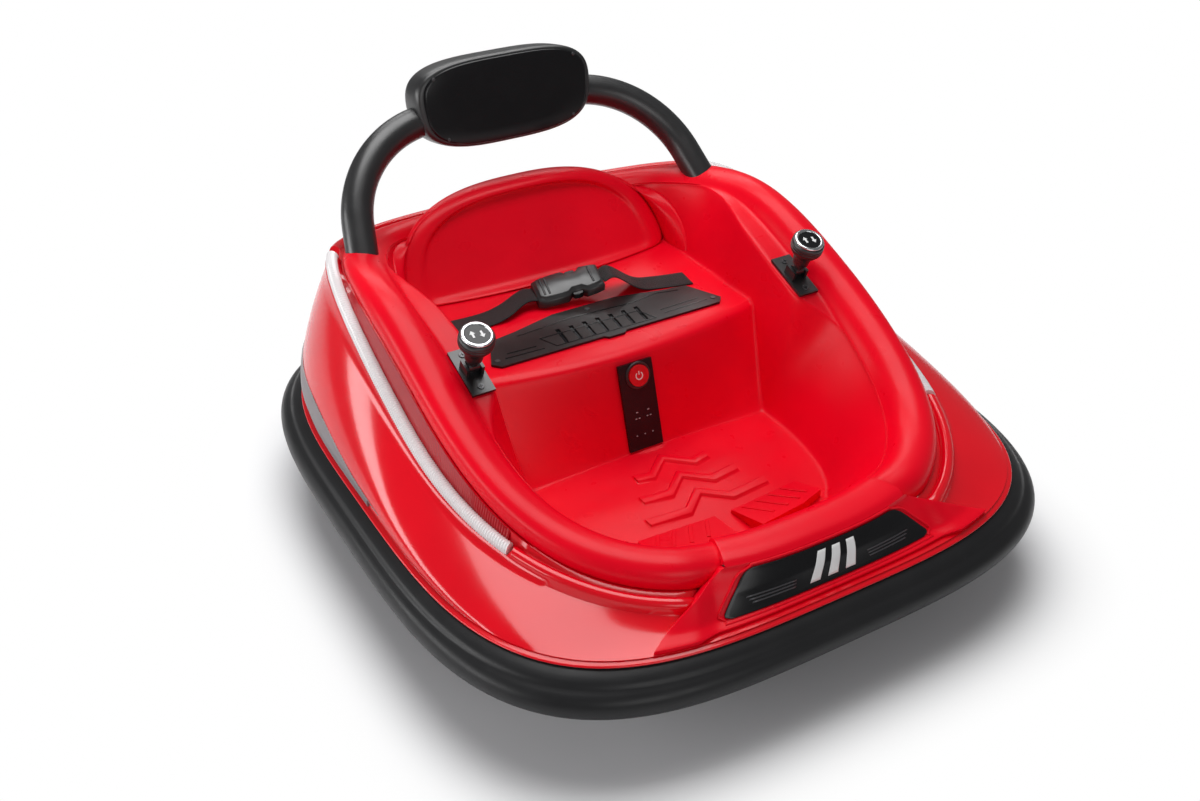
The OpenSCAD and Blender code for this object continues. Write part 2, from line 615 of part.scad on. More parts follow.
// The pads' corners: distance from their rear end, and share of the floor's half width
pad_corners = [[8, 0.0658], [0, 0.6382], [33, 0.6908], [46, 0.4605], [54, 0.0987]];
module foot_pads() {
    color(satin_red)
    translate([0, 0, floor_height + seat_gap])
    for (side = [-1, 1])
        intersection() {
            linear_extrude(30)
            polygon([for (p = pad_corners) [pads_rear + p[0], side * p[1] * floor_half_width]]);
            rotate([90, 0, 0])
            linear_extrude(bumper_width, center = true)
            polygon([[pads_rear - 10, 0], [pads_rear + 70, 0], [pads_rear + 70, 1.5 + 70 * pad_slope],
                [pads_rear, 1.5], [pads_rear - 10, 1.5]]);
        }
}

// Roll bar and headrest

// The posts stand on the rim's crown, at this angle from the nose
post_angle = 136.36;
post_lift = 2.07;
post_reach = rim_loop(post_angle) - bar_inset;
bar_span = 2 * post_reach * sin(post_angle);
bar_foot = [post_reach * cos(post_angle), 0, rim_edge(post_angle) + crown_rise(post_angle) + post_lift];
post_lean = 11.5;
post_height = 20;
post_depth = 8;
// Where the bend starts, and the middle that it turns about
bend_start = bar_span / 2 - post_height * tan(post_lean);
bend_middle = bend_start - bar_bend * cos(post_lean);
bar_crest = post_height + bar_bend * (1 - sin(post_lean));
module on_bar() {
    translate(bar_foot)
    rotate([0, -bar_lean, 0])
    children();
}
module at_post(side) {
    translate([0, side * bar_span / 2, 0])
    rotate([side * post_lean, 0, 0])
    children();
}
// The bends run into a sleeve at each foot and into one that the headrest hides
sleeve = 0.8;
sleeve_lap = 4;
module bar_tube(radius) {
    on_bar() {
        for (side = [-1, 1]) {
            at_post(side)
            translate([0, 0, -post_depth])
            cylinder(h = post_depth + post_height / cos(post_lean) + sleeve_lap, r = radius + sleeve);
            translate([0, side * bend_middle, bar_crest - bar_bend])
            rotate([90, 0, 90])
            rotate([0, 0, side > 0 ? post_lean : 90])
            rotate_extrude(angle = 90 - post_lean)
            translate([bar_bend, 0])
            circle(r = radius);
        }
        translate([0, 0, bar_crest])
        rotate([90, 0, 0])
        cylinder(h = 2 * bend_middle + 2 * sleeve_lap, r = radius + sleeve, center = true);
    }
}
module roll_bar() {
    color(black)
    bar_tube(bar_radius);
}
// The sockets that the posts stand in
module bar_sockets(gap) {
    on_bar()
    for (side = [-1, 1])
        at_post(side)
        translate([0, 0, -post_depth - gap])
        cylinder(h = post_depth + 60, r = bar_radius + sleeve + gap);
}
bar_top = bar_foot + bar_crest * [-sin(bar_lean), 0, cos(bar_lean)];
pad_lean = 12;
pad_depth = 46;
pad_shift = [-4.6, 0, 10];
// The headrest stands on the bar's top: x is out of its face, y across, z up
module on_pad() {
    translate(bar_top + pad_shift)
    rotate([0, -pad_lean, 0])
    children();
}
function pad_loop(scale_by, x) =
    [for (a = [0 : 7.5 : 359])
        let (n = 3, w = pad_width / 2 * (1 + 0.08 * sin(a)),
            r = scale_by * pow(pow(abs(cos(a)) / w, n) + pow(abs(sin(a)) / (pad_height / 2), n), -1 / n))
        [x, r * cos(a), r * sin(a)]];
// From the back to the face: scale and depth
pad_layers = [[0.86, 0], [0.95, 3], [0.99, 9], [1, 16], [1, 32], [0.985, 40], [0.96, 44], [0.93, pad_depth]];
module headrest() {
    color(black)
    difference() {
        on_pad()
        stacked([for (layer = pad_layers) pad_loop(layer[0], layer[1] - pad_depth / 2)]);
        bar_tube(bar_radius + seat_gap);
    }
}
headrest_plate_thickness = 3;
module headrest_plate() {
    color(black)
    difference() {
        on_pad()
        translate([pad_depth / 2 + seat_gap, 0, 0])
        rotate([90, 0, 90])
        linear_extrude(headrest_plate_thickness)
        polygon([for (p = pad_loop(0.91, 0)) [p[1], p[2]]]);
        bar_tube(bar_radius + seat_gap);
    }
}

// Levers

lever_slope = atan((rim_edge_at(-28) - rim_edge_at(28)) / 56);
lever_lift = shelf_rise + 0.4;
plate_length = 58;
plate_width = 25;
bracket_thickness = 3;
pivot_height = 10;
pin_radius = 2.5;
cheek_gap = 13;
cheek_thickness = 3;
// Stands a piece on the shelf: x runs forward down the shelf, z out of it
module on_shelf(side) {
    translate([0, side * lever_span / 2, rim_edge_at(0) + lever_lift])
    rotate([0, lever_slope, 0])
    children();
}
module lever_bracket(side) {
    color(black)
    on_shelf(side) {
        translate([-plate_length / 2, -plate_width / 2, 0])
        cube([plate_length, plate_width, bracket_thickness]);
        for (face = [-1, 1])
            translate([-8, face * (cheek_gap + cheek_thickness) / 2 - cheek_thickness / 2, bracket_thickness])
            cube([16, cheek_thickness, pivot_height + 1]);
        translate([0, 0, bracket_thickness + pivot_height - 2])
        rotate([90, 0, 0])
        cylinder(h = cheek_gap, r = pin_radius, center = true);
    }
}
module lever_bracket_left() {
    lever_bracket(1);
}
module lever_bracket_right() {
    lever_bracket(-1);
}
lever_height = 44;
knob_height = 15;
// The stem is thin between the bracket's cheeks, and thick from here up
stem_start = 11;
stem_radius_low = 9;
stem_radius_high = 10.5;
knob_low = lever_height - knob_height;
knob_profile = [[0, stem_start], [stem_radius_low, stem_start], [stem_radius_high, knob_low - 6],
    [knob_radius - 5, knob_low - 2.5], [knob_radius - 1.6, knob_low + 1], [knob_radius, knob_low + 5],
    [knob_radius, knob_low + 9], [knob_radius - 0.8, lever_height - 2.5], [knob_radius - 2, lever_height],
    [0, lever_height]];
module lever(side) {
    color(black)
    on_shelf(side)
    translate([0, 0, bracket_thickness + pivot_height - 2])
    difference() {
        union() {
            rotate([90, 0, 0])
            cylinder(h = cheek_gap - 1, r = 6, center = true);
            cylinder(h = stem_start + 1, r = 5.5);
            rotate_extrude()
            polygon(knob_profile);
        }
        rotate([90, 0, 0])
        cylinder(h = 40, r = pin_radius + pin_gap, center = true);
    }
}
module lever_left() {
    lever(1);
}
module lever_right() {
    lever(-1);
}
module lever_cap(side) {
    color(grey)
    on_shelf(side)
    translate([0, 0, bracket_thickness + pivot_height - 2 + lever_height + seat_gap])
    cylinder(h = 2, r = knob_radius - 2);
}
module lever_cap_left() {
    lever_cap(1);
}
module lever_cap_right() {
    lever_cap(-1);
}

// Chassis and running gear

pan_top = floor_height - tub_wall - seat_gap;
pan_thickness = 5;
wheel_clear = 8;
module chassis_pan() {
    color(black)
    translate([0, 0, pan_top - pan_thickness])
    linear_extrude(pan_thickness)
    difference() {
        polygon([for (t = ring_angles)
            let (r = bumper_loop(t, skirt_inset) - shell_wall - seat_gap) [r * cos(t), r * sin(t)]]);
        for (side = [-1, 1])
            translate([-axle_back, side * wheel_track / 2])
            square([2 * wheel_radius + 2 * wheel_clear, wheel_width + 2 * wheel_clear], center = true);
    }
}
// The battery stands between the motors, and between the axle and the seat's front
battery_clear = 21;
battery_share = 0.3585;
battery_length = 66;
battery_height = seat_height - 87;
module battery() {
    width = 2 * (box_outer - box_width - motor_length - battery_clear);
    color(grey)
    translate([mix(-axle_back, seat_foot, battery_share) - battery_length / 2, -width / 2, pan_top + seat_gap])
    cube([battery_length, width, battery_height]);
}
axle_radius = 6;
box_length = 104;
box_width = 30;
box_height = 66;
motor_radius = 18;
motor_length = 58;
box_outer = wheel_track / 2 - wheel_width / 2 - 6;
module gearmotor(side) {
    color(grey)
    difference() {
        union() {
            translate([-axle_back - 20, side > 0 ? box_outer - box_width : -box_outer, pan_top + seat_gap])
            cube([box_length, box_width, box_height]);
            translate([-axle_back + 58, side * (box_outer - box_width), pan_top + 40])
            rotate([side * 90, 0, 0])
            cylinder(h = motor_length, r = motor_radius);
        }
        translate([-axle_back, 0, wheel_radius])
        rotate([90, 0, 0])
        cylinder(h = bumper_width, r = axle_radius + seat_gap, center = true);
    }
}
module gearmotor_left() {
    gearmotor(1);
}
module gearmotor_right() {
    gearmotor(-1);
}
module rear_axle() {
    color(grey)
    translate([-axle_back, 0, wheel_radius])
    rotate([90, 0, 0])
    cylinder(h = wheel_track + wheel_width + 12, r = axle_radius, center = true);
}
tyre_depth = 16;
module at_wheel(side) {
    translate([-axle_back, side * wheel_track / 2, wheel_radius])
    rotate([90, 0, 0])
    children();
}
module wheel(side) {
    hub = wheel_radius - tyre_depth - seat_gap;
    color(grey)
    at_wheel(side)
    difference() {
        cylinder(h = wheel_width - 2, r = hub, center = true);
        for (face = [-1, 1])
            translate([0, 0, face * (wheel_width / 2 - 5)])
            difference() {
                cylinder(h = 20, r = hub - 8, center = true);
                cylinder(h = 30, r = 18, center = true);
            }
        cylinder(h = 2 * wheel_width, r = axle_radius + pin_gap, center = true);
    }
}
module wheel_left() {
    wheel(1);
}
module wheel_right() {
    wheel(-1);
}
module tyre(side) {
    inner = wheel_radius - tyre_depth;
    color(black)
    at_wheel(side)
    rotate_extrude()
    polygon([[inner, -wheel_width / 2], [wheel_radius - 6, -wheel_width / 2], [wheel_radius, -wheel_width / 2 + 7],
        [wheel_radius, wheel_width / 2 - 7], [wheel_radius - 6, wheel_width / 2], [inner, wheel_width / 2]]);
}
module tyre_left() {
    tyre(1);
}
module tyre_right() {
    tyre(-1);
}
caster_trail = 16;
caster_width = 18;
caster_plate = 3;
base_top = pan_top - pan_thickness - seat_gap;
swivel_radius = 17;
swivel_height = 6;
stem_radius = 5;
fork_top = base_top - caster_plate - swivel_height - 0.6;
fork_thickness = 3.4;
caster_pin = 3;
module at_swivel(side) {
    translate([caster_front, side * caster_track / 2, 0])
    children();
}
module caster_base(side) {
    color(grey)
    at_swivel(side)
    difference() {
        union() {
            translate([-32, -26, base_top - caster_plate])
            cube([64, 52, caster_plate]);
            translate([0, 0, base_top - caster_plate - swivel_height])
            cylinder(h = swivel_height + caster_plate, r = swivel_radius);
        }
        translate([0, 0, base_top - caster_plate - swivel_height - 1])
        cylinder(h = swivel_height + 2, r = stem_radius + pin_gap);
    }
}
module caster_base_left() {
    caster_base(1);
}
module caster_base_right() {
    caster_base(-1);
}
module caster_fork(side) {
    cheek = caster_width / 2 + 1.2;
    color(grey)
    at_swivel(side)
    difference() {
        union() {
            translate([0, 0, fork_top - fork_thickness])
            cylinder(h = fork_thickness, r = swivel_radius - 1);
            translate([0, 0, fork_top - fork_thickness])
            cylinder(h = fork_thickness + swivel_height, r = stem_radius);
            for (face = [-1, 1])
                translate([0, face * (cheek + 1.25) + 1.25, 0])
                rotate([90, 0, 0])
                linear_extrude(2.5)
                polygon([[9, fork_top], [-14, fork_top], [-caster_trail - 8, caster_radius + 2],
                    [-caster_trail - 6, caster_radius - 7], [-caster_trail + 5, caster_radius - 7],
                    [9, fork_top - 10]]);
        }
        translate([-caster_trail, 0, caster_radius])
        rotate([90, 0, 0])
        cylinder(h = 60, r = caster_pin + seat_gap, center = true);
    }
}
module caster_fork_left() {
    caster_fork(1);
}
module caster_fork_right() {
    caster_fork(-1);
}
module caster_axle(side) {
    color(grey)
    at_swivel(side)
    translate([-caster_trail, 0, caster_radius])
    rotate([90, 0, 0])
    cylinder(h = caster_width + 9, r = caster_pin, center = true);
}
module caster_axle_left() {
    caster_axle(1);
}
module caster_axle_right() {
    caster_axle(-1);
}
module caster_wheel(side) {
    color(black)
    at_swivel(side)
    translate([-caster_trail, 0, caster_radius])
    rotate([90, 0, 0])
    rotate_extrude()
    polygon([[caster_pin + pin_gap, -caster_width / 2], [caster_radius - 4, -caster_width / 2],
        [caster_radius, -caster_width / 2 + 4], [caster_radius, caster_width / 2 - 4],
        [caster_radius - 4, caster_width / 2], [caster_pin + pin_gap, caster_width / 2]]);
}
module caster_wheel_left() {
    caster_wheel(1);
}
module caster_wheel_right() {
    caster_wheel(-1);
}

bumper_ring();
body_shell();
cockpit_tub();
nose_panel();
nose_plate();
backrest();
seat_plate();
control_panel();
power_button();
floor_treads();
foot_pads();
lamp_left();
lamp_right();
side_lens_left();
side_lens_right();
roll_bar();
headrest();
headrest_plate();
belt_left();
belt_right();
buckle();
lever_bracket_left();
lever_bracket_right();
lever_left();
lever_right();
lever_cap_left();
lever_cap_right();
chassis_pan();
battery();
gearmotor_left();
gearmotor_right();
rear_axle();
wheel_left();
wheel_right();
tyre_left();
tyre_right();
caster_base_left();
caster_base_right();
caster_fork_left();
caster_fork_right();
caster_axle_left();
caster_axle_right();
caster_wheel_left();
caster_wheel_right();
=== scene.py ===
"""Looks of a child's electric bumper car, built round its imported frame.

The formulas are in millimetres and the meshes in metres. +X is forward, +Y is the rider's left, +Z is up.
"""
import math

import bmesh
import bpy
import numpy as np
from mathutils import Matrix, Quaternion, Vector


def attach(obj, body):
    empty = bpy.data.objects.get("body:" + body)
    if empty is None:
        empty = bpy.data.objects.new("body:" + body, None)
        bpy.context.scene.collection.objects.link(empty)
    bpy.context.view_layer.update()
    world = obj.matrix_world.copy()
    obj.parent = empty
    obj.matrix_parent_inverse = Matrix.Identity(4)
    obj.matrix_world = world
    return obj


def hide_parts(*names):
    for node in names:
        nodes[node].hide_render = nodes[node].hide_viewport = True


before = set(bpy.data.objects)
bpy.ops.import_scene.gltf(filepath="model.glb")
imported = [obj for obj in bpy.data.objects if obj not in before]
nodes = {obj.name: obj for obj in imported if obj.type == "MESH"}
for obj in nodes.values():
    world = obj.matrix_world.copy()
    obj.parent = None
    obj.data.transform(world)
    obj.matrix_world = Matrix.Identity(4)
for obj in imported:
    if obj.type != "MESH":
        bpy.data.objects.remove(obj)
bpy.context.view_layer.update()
scene = bpy.context.scene
MM = 0.001

# Camera, at the photograph's viewing angle

CAMERA_PLACE = Vector((976.45, -634.64, 891.08)) * MM
CAMERA_AZIMUTH, CAMERA_ELEVATION, CAMERA_ROLL = -30.85, 33.32, 0.244
camera_data = bpy.data.cameras.new("camera")
camera_data.sensor_width = 36
camera_data.lens = 38.67
camera = bpy.data.objects.new("camera", camera_data)
scene.collection.objects.link(camera)
azimuth, elevation = math.radians(CAMERA_AZIMUTH), math.radians(CAMERA_ELEVATION)
level = math.cos(elevation)
backward = Vector((level * math.cos(azimuth), level * math.sin(azimuth), math.sin(elevation)))
camera.location = CAMERA_PLACE
camera.rotation_mode = "QUATERNION"
camera.rotation_quaternion = (-backward).to_track_quat("-Z", "Y") @ Quaternion((0, 0, 1), math.radians(CAMERA_ROLL))
scene.camera = camera
scene.view_settings.view_transform = "Standard"

# Materials

GLOSS_RED = (0.72, 0.0005, 0.010)
SATIN_RED = (0.80, 0.0006, 0.014)
# The groove wall's darker red is painted shade of the groove
GROOVE_SHADE_RED = (0.42, 0.0005, 0.007)


def node_tree(name):
    material = bpy.data.materials.new(name)
    material.use_nodes = True
    return material, material.node_tree.nodes, material.node_tree.links, material.node_tree.nodes["Principled BSDF"]


def noise(tree, links, coordinates, scale, detail=2.0):
    texture = tree.new("ShaderNodeTexNoise")
    texture.inputs["Scale"].default_value = scale
    texture.inputs["Detail"].default_value = detail
    links.new(coordinates, texture.inputs["Vector"])
    return texture.outputs["Fac"]


def spread_of(tree, links, factor, low, high):
    """A number that follows a noise between two limits."""
    scale = tree.new("ShaderNodeMapRange")
    scale.inputs["From Min"].default_value, scale.inputs["From Max"].default_value = 0.3, 0.7
    scale.inputs["To Min"].default_value, scale.inputs["To Max"].default_value = low, high
    links.new(factor, scale.inputs["Value"])
    return scale.outputs["Result"]


def plastic(name, colour, roughness, spread=0.06, grain=900.0, bump=0.06, coat=0.0, metallic=0.0, specular=0.5):
    """A moulded surface: slight changes of shade, uneven polish and a fine grain."""
    material, tree, links, shader = node_tree(name)
    place = tree.new("ShaderNodeTexCoord").outputs["Object"]
    broad = noise(tree, links, place, 9.0)
    ramp = tree.new("ShaderNodeValToRGB")
    ramp.color_ramp.elements[0].position, ramp.color_ramp.elements[1].position = 0.3, 0.7
    ramp.color_ramp.elements[0].color = (*[c * (1 - spread) for c in colour], 1)
    ramp.color_ramp.elements[1].color = (*[min(1, c * (1 + spread)) for c in colour], 1)
    links.new(broad, ramp.inputs["Fac"])
    links.new(ramp.outputs["Color"], shader.inputs["Base Color"])
    links.new(spread_of(tree, links, noise(tree, links, place, 40.0), roughness * 0.9, roughness * 1.1),
              shader.inputs["Roughness"])
    relief = tree.new("ShaderNodeBump")
    relief.inputs["Strength"].default_value = bump
    relief.inputs["Distance"].default_value = 0.0004
    links.new(noise(tree, links, place, grain, 3.0), relief.inputs["Height"])
    links.new(relief.outputs["Normal"], shader.inputs["Normal"])
    shader.inputs["Metallic"].default_value = metallic
    shader.inputs["Specular IOR Level"].default_value = specular
    shader.inputs["Coat Weight"].default_value = coat
    shader.inputs["Coat Roughness"].default_value = 0.04
    return material


def woven(name, colour):
    """Belt webbing: ribs along the strap and picks across it, drawn from the strap's own coordinates."""
    material, tree, links, shader = node_tree(name)
    place = tree.new("ShaderNodeUVMap").outputs["UV"]
    height = None
    for direction, scale in (("X", 9.0), ("Y", 26.0)):
        wave = tree.new("ShaderNodeTexWave")
        wave.bands_direction = direction
        wave.inputs["Scale"].default_value = scale
        wave.inputs["Distortion"].default_value = 0.4
        links.new(place, wave.inputs["Vector"])
        if height is None:
            height = wave.outputs["Fac"]
        else:
            product = tree.new("ShaderNodeMath")
            product.operation = "MULTIPLY"
            links.new(height, product.inputs[0])
            links.new(wave.outputs["Fac"], product.inputs[1])
            height = product.outputs["Value"]
    # The weave's relief is real; its colour, darker in the dips and lighter on the ridges, is painted shade and painted
    # highlight
    ramp = tree.new("ShaderNodeValToRGB")
    ramp.color_ramp.elements[0].color = (*[c * 0.55 for c in colour], 1)
    ramp.color_ramp.elements[1].color = (*[c * 1.6 for c in colour], 1)
    links.new(height, ramp.inputs["Fac"])
    links.new(ramp.outputs["Color"], shader.inputs["Base Color"])
    relief = tree.new("ShaderNodeBump")
    relief.inputs["Strength"].default_value = 0.5
    relief.inputs["Distance"].default_value = 0.0005
    links.new(height, relief.inputs["Height"])
    links.new(relief.outputs["Normal"], shader.inputs["Normal"])
    shader.inputs["Roughness"].default_value = 0.6
    shader.inputs["Specular IOR Level"].default_value = 0.3
    shader.inputs["Sheen Weight"].default_value = 0.08
    return material


red_gloss = plastic("red_gloss", GLOSS_RED, 0.16, grain=60.0, bump=0.01, coat=0.2, specular=0.42)
red_satin = plastic("red_satin", SATIN_RED, 0.30, bump=0.04, specular=0.17)
red_groove_shade = plastic("red_groove_shade", GROOVE_SHADE_RED, 0.16, grain=300.0, bump=0.02, coat=0.3)
black_bumper = plastic("black_bumper", (0.014, 0.014, 0.015), 0.38, grain=1200.0, bump=0.10, specular=0.28)
black_satin = plastic("black_satin", (0.012, 0.012, 0.013), 0.36, grain=1400.0, bump=0.06, specular=0.8)
black_gloss = plastic("black_gloss", (0.006, 0.006, 0.007), 0.20, grain=300.0, bump=0.01, specular=0.35)
dark_plate = plastic("dark_plate", (0.014, 0.010, 0.010), 0.32, grain=1500.0, bump=0.08, specular=0.4)
clear_lens = plastic("clear_lens", (0.82, 0.79, 0.80), 0.16, spread=0.04, grain=500.0, bump=0.03, coat=0.3)
smoke_lens = plastic("smoke_lens", (0.24, 0.21, 0.22), 0.16, grain=500.0, bump=0.03)
rubber = plastic("rubber", (0.018, 0.018, 0.018), 0.72, spread=0.2, grain=700.0, bump=0.3)
steel = plastic("steel", (0.46, 0.47, 0.49), 0.30, grain=900.0, bump=0.08, metallic=1.0)
silver = plastic("silver", (0.72, 0.73, 0.75), 0.14, grain=900.0, bump=0.02, metallic=1.0)
grey_plastic = plastic("grey_plastic", (0.08, 0.08, 0.085), 0.5, bump=0.12)
white_print = plastic("white_print", (0.80, 0.80, 0.80), 0.35, grain=400.0, bump=0.02)
grey_print = plastic("grey_print", (0.045, 0.045, 0.05), 0.3, grain=400.0, bump=0.02)
steel_dark = plastic("steel_dark", (0.10, 0.10, 0.105), 0.35, grain=900.0, bump=0.05, metallic=0.8)
grey_mark = plastic("grey_mark", (0.32, 0.32, 0.33), 0.35, grain=400.0, bump=0.02)
button_red = plastic("button_red", (0.62, 0.006, 0.012), 0.18, grain=400.0, bump=0.02, coat=0.4)
webbing = woven("webbing", (0.009, 0.009, 0.010))

# Meshes

SHARP_ANGLE = math.radians(38)


def add_mesh(name, points, faces, material, body="body", stands_for=(), slot=None, levels=0, thickness=0.0,
             bevel=0.0, sharp=SHARP_ANGLE):
    """A piece from points in millimetres. It rides on a body and may stand for CAD nodes."""
    mesh = bpy.data.meshes.new(name)
    mesh.from_pydata([tuple(p) for p in np.asarray(points, float) * MM], [], faces)
    work = bmesh.new()
    work.from_mesh(mesh)
    bmesh.ops.remove_doubles(work, verts=work.verts, dist=1e-6)
    bmesh.ops.recalc_face_normals(work, faces=work.faces)
    work.to_mesh(mesh)
    work.free()
    return add_piece(name, mesh, material, body, stands_for, levels, thickness, bevel, sharp)


def add_piece(name, mesh, material, body="body", stands_for=(), levels=0, thickness=0.0, bevel=0.0,
              sharp=SHARP_ANGLE):
    mesh.materials.append(material)
    mesh.shade_smooth()
    if not levels:
        mesh.set_sharp_from_angle(angle=sharp)
    obj = bpy.data.objects.new(name, mesh)
    scene.collection.objects.link(obj)
    if levels:
        smooth = obj.modifiers.new("smooth", "SUBSURF")
        smooth.levels = smooth.render_levels = levels
    if thickness:
        wall = obj.modifiers.new("wall", "SOLIDIFY")
        wall.thickness, wall.offset = thickness * MM, -1
    if bevel:
        round_edges(obj, bevel)
    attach(obj, body)
    if stands_for:
        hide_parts(*stands_for)
    return obj


def round_edges(obj, width, segments=3):
    edge = obj.modifiers.new("edges", "BEVEL")
    edge.width, edge.segments = width * MM, segments
    edge.limit_method, edge.angle_limit = "ANGLE", math.radians(35)
    edge.harden_normals = False


def grid(rows, closed_rows=False, closed_columns=False):
    """Points and faces of a net of rows."""
    rows = np.asarray(rows, float)
    n, m = rows.shape[:2]
    faces = [(i * m + k, i * m + (k + 1) % m, (i + 1) % n * m + (k + 1) % m, (i + 1) % n * m + k)
             for i in range(n if closed_rows else n - 1) for k in range(m if closed_columns else m - 1)]
    return rows.reshape(-1, 3), faces


def capped(rows):
    """A net of closed loops with a flat face at each end."""
    points, faces = grid(rows, closed_columns=True)
    n, m = np.asarray(rows).shape[:2]
    return points, faces + [tuple(range(m)), tuple(range((n - 1) * m, n * m))]


def polar(angles, sections):
    """Rows of points from sections of (distance, height) round the middle."""
    c, s = np.cos(np.radians(angles))[:, None], np.sin(np.radians(angles))[:, None]
    sections = np.asarray(sections, float)
    return np.stack([sections[..., 0] * c, sections[..., 0] * s, sections[..., 1]], -1)


def mix(a, b, f):
    return a + (b - a) * f


def ease(a):
    c = np.clip(a, 0, 1)
    return c * c * (3 - 2 * c)


def through(points, steps):
    """A smooth curve through points, with some steps between each two."""
    p = np.asarray(points, float)
    p = np.vstack([2 * p[0] - p[1], p, 2 * p[-1] - p[-2]])
    out = []
    for a, b, c, d in zip(p, p[1:], p[2:], p[3:]):
        for f in np.linspace(0, 1, steps, endpoint=False):
            out.append(0.5 * (2 * b + (c - a) * f + (2 * a - 5 * b + 4 * c - d) * f**2
                              + (3 * b - a - 3 * c + d) * f**3))
    return np.array(out + [p[-2]])


# The car's own outlines, the same formulas as its solids

BUMPER_LENGTH, BUMPER_WIDTH, BUMPER_SQUARENESS = 734, 696, 3.6
BUMPER_TOP, BUMPER_ROLL, BUMPER_DEPTH = 111, 16, 27.5
RIM_FRONT, RIM_REAR, RIM_HALF, RIM_LOW, RIM_HIGH = 313, 325, 260, 137, 264
RIM_WIDTH, RIM_CROWN, LEDGE_WIDTH, SHELF_RISE = 49, 24, 28, 2.5
RIM_FRONT_SQUARENESS, RIM_REAR_SQUARENESS = 2.6, 3.6
WAVE_START, WAVE_LENGTH = -200, 510
NOSE_DIP, NOSE_TUCK, NOSE_ANGLE, NOSE_TOP_ANGLE = 4, 8, 30.5, 19
REAR_SINK = 16
LAMP_RADIUS, LAMP_OFFSET, LAMP_START, LAMP_END = 6.5, 12, 54, 138
SKIRT_INSET, LIP_HEIGHT, LIP_WIDTH, LENS_BAND, WALL_ROUNDNESS = BUMPER_DEPTH + 0.3, 2.5, 4.5, 14, 1.6
FLOOR_HEIGHT, FLOOR_FRONT, FLOOR_HALF = 76, 222, 152
SEAT_HEIGHT, SEAT_HALF, SEAT_REAR, SEAT_FOOT, SEAT_EDGE, SEAT_BOW = 181, 174, 272, 18.5, -42, 24
SEAT_CORNER = ((-11.5, 9), (-15, 3.5), (-22, 0.6))


def plan_loop(t, front, rear, half, n_front, n_rear):
    c, s = np.cos(np.radians(t)), np.sin(np.radians(t))
    n, reach = np.where(c >= 0, n_front, n_rear), np.where(c >= 0, front, rear)
    return ((np.abs(c) / reach) ** n + (np.abs(s) / half) ** n) ** (-1 / n)


def bumper_loop(t, inset):
    length, width = BUMPER_LENGTH / 2 - inset, BUMPER_WIDTH / 2 - inset
    return plan_loop(t, length, length, width, BUMPER_SQUARENESS, BUMPER_SQUARENESS)


def rim_loop(t):
    return plan_loop(t, RIM_FRONT, RIM_REAR, RIM_HALF, RIM_FRONT_SQUARENESS, RIM_REAR_SQUARENESS)


def folded(t):
    return 180 - np.abs(np.mod(t, 360) - 180)


def rim_edge_at(x):
    return mix(RIM_LOW, RIM_HIGH, (1 + np.cos(np.pi * (x - WAVE_START) / WAVE_LENGTH)) / 2)


def nose_share(t):
    return 1 - ease((folded(t) - 20.5) / 4.5)


def edge_x(t):
    return rim_loop(t) * np.cos(np.radians(t))


def rim_edge(t):
    return rim_edge_at(edge_x(t)) - NOSE_DIP * nose_share(t) - REAR_SINK * ease((folded(t) - 115) / 40)


def rim_reach(t):
    return rim_loop(t) - NOSE_TUCK * nose_share(t)


def crown_rise(t):
    return RIM_CROWN * (1 - 0.45 * ease((folded(t) - 100) / 40))


def bead_height(t):
    x = np.clip(edge_x(t), -250, 250)
    strip = rim_edge(t) + 6 * ease((folded(t) - 115) / 20) - 5 - 27 * np.cos(np.pi / 2 * x / 250) ** 2
    return mix(strip, 117, nose_share(t))


def bead_radius(t):
    return mix(LAMP_RADIUS, 1.5, nose_share(t))


def bead_line(t):
    return rim_reach(t) + mix(LAMP_OFFSET, -3, nose_share(t))


def in_lamp(t):
    return LAMP_START < folded(t) < LAMP_END


def thick(sections, depth=0.8):
    """Sections of a skin, each closed by its copy a little further in."""
    sections = np.asarray(sections, float)
    return np.concatenate([sections, sections[:, ::-1] - (depth, 0)], 1)


# Bumper ring

ROUND = np.arange(0, 360, 1.5)
ROLL_HEIGHT = BUMPER_TOP - 10.5 - BUMPER_ROLL
ROLL_BOTTOM = ROLL_HEIGHT - BUMPER_ROLL
roll = [(BUMPER_ROLL * (1 - math.cos(a)), ROLL_HEIGHT + BUMPER_ROLL * math.sin(a))
        for a in np.radians(np.linspace(-90, 60, 22))]
crease = [(10.2, 99.6), (11.4, 100.6), (12.4, 102.2), (13.6, 103.8), (15.2, 105.2)]
top_face = [(19, 107.4), (23, 109.2), (26, 110.4), (27.2, 110.9), (BUMPER_DEPTH, 110.3)]
bumper_profile = [(BUMPER_DEPTH - 4, ROLL_BOTTOM)] + roll + crease + top_face + [(BUMPER_DEPTH, ROLL_BOTTOM + 4)]
sections = np.stack([np.stack([bumper_loop(ROUND, inset), np.full_like(ROUND, z)], -1)
                     for inset, z in bumper_profile], 1)
add_mesh("bumper", *grid(polar(ROUND, sections), True, True), black_bumper, stands_for=["bumper_ring"],
         slot="bumper_black", sharp=math.radians(60))

# Outer shell with its lip, lens band, wall and groove


def wall_at(t, f):
    """On the side wall, from its foot (0) to its head under the bead (1)."""
    share = ease((folded(t) - 50) / 35)
    foot = bumper_loop(t, SKIRT_INSET - 2 * share), BUMPER_TOP + LIP_HEIGHT + 2 + LENS_BAND * share
    head = bead_line(t) + bead_radius(t), bead_height(t) - 0.8 * bead_radius(t)
    roundness = mix(WALL_ROUNDNESS, 0.5, 1 - ease((folded(t) - 30) / 30))
    return float(mix(foot[0], head[0], f**roundness)), float(mix(foot[1], head[1], f))


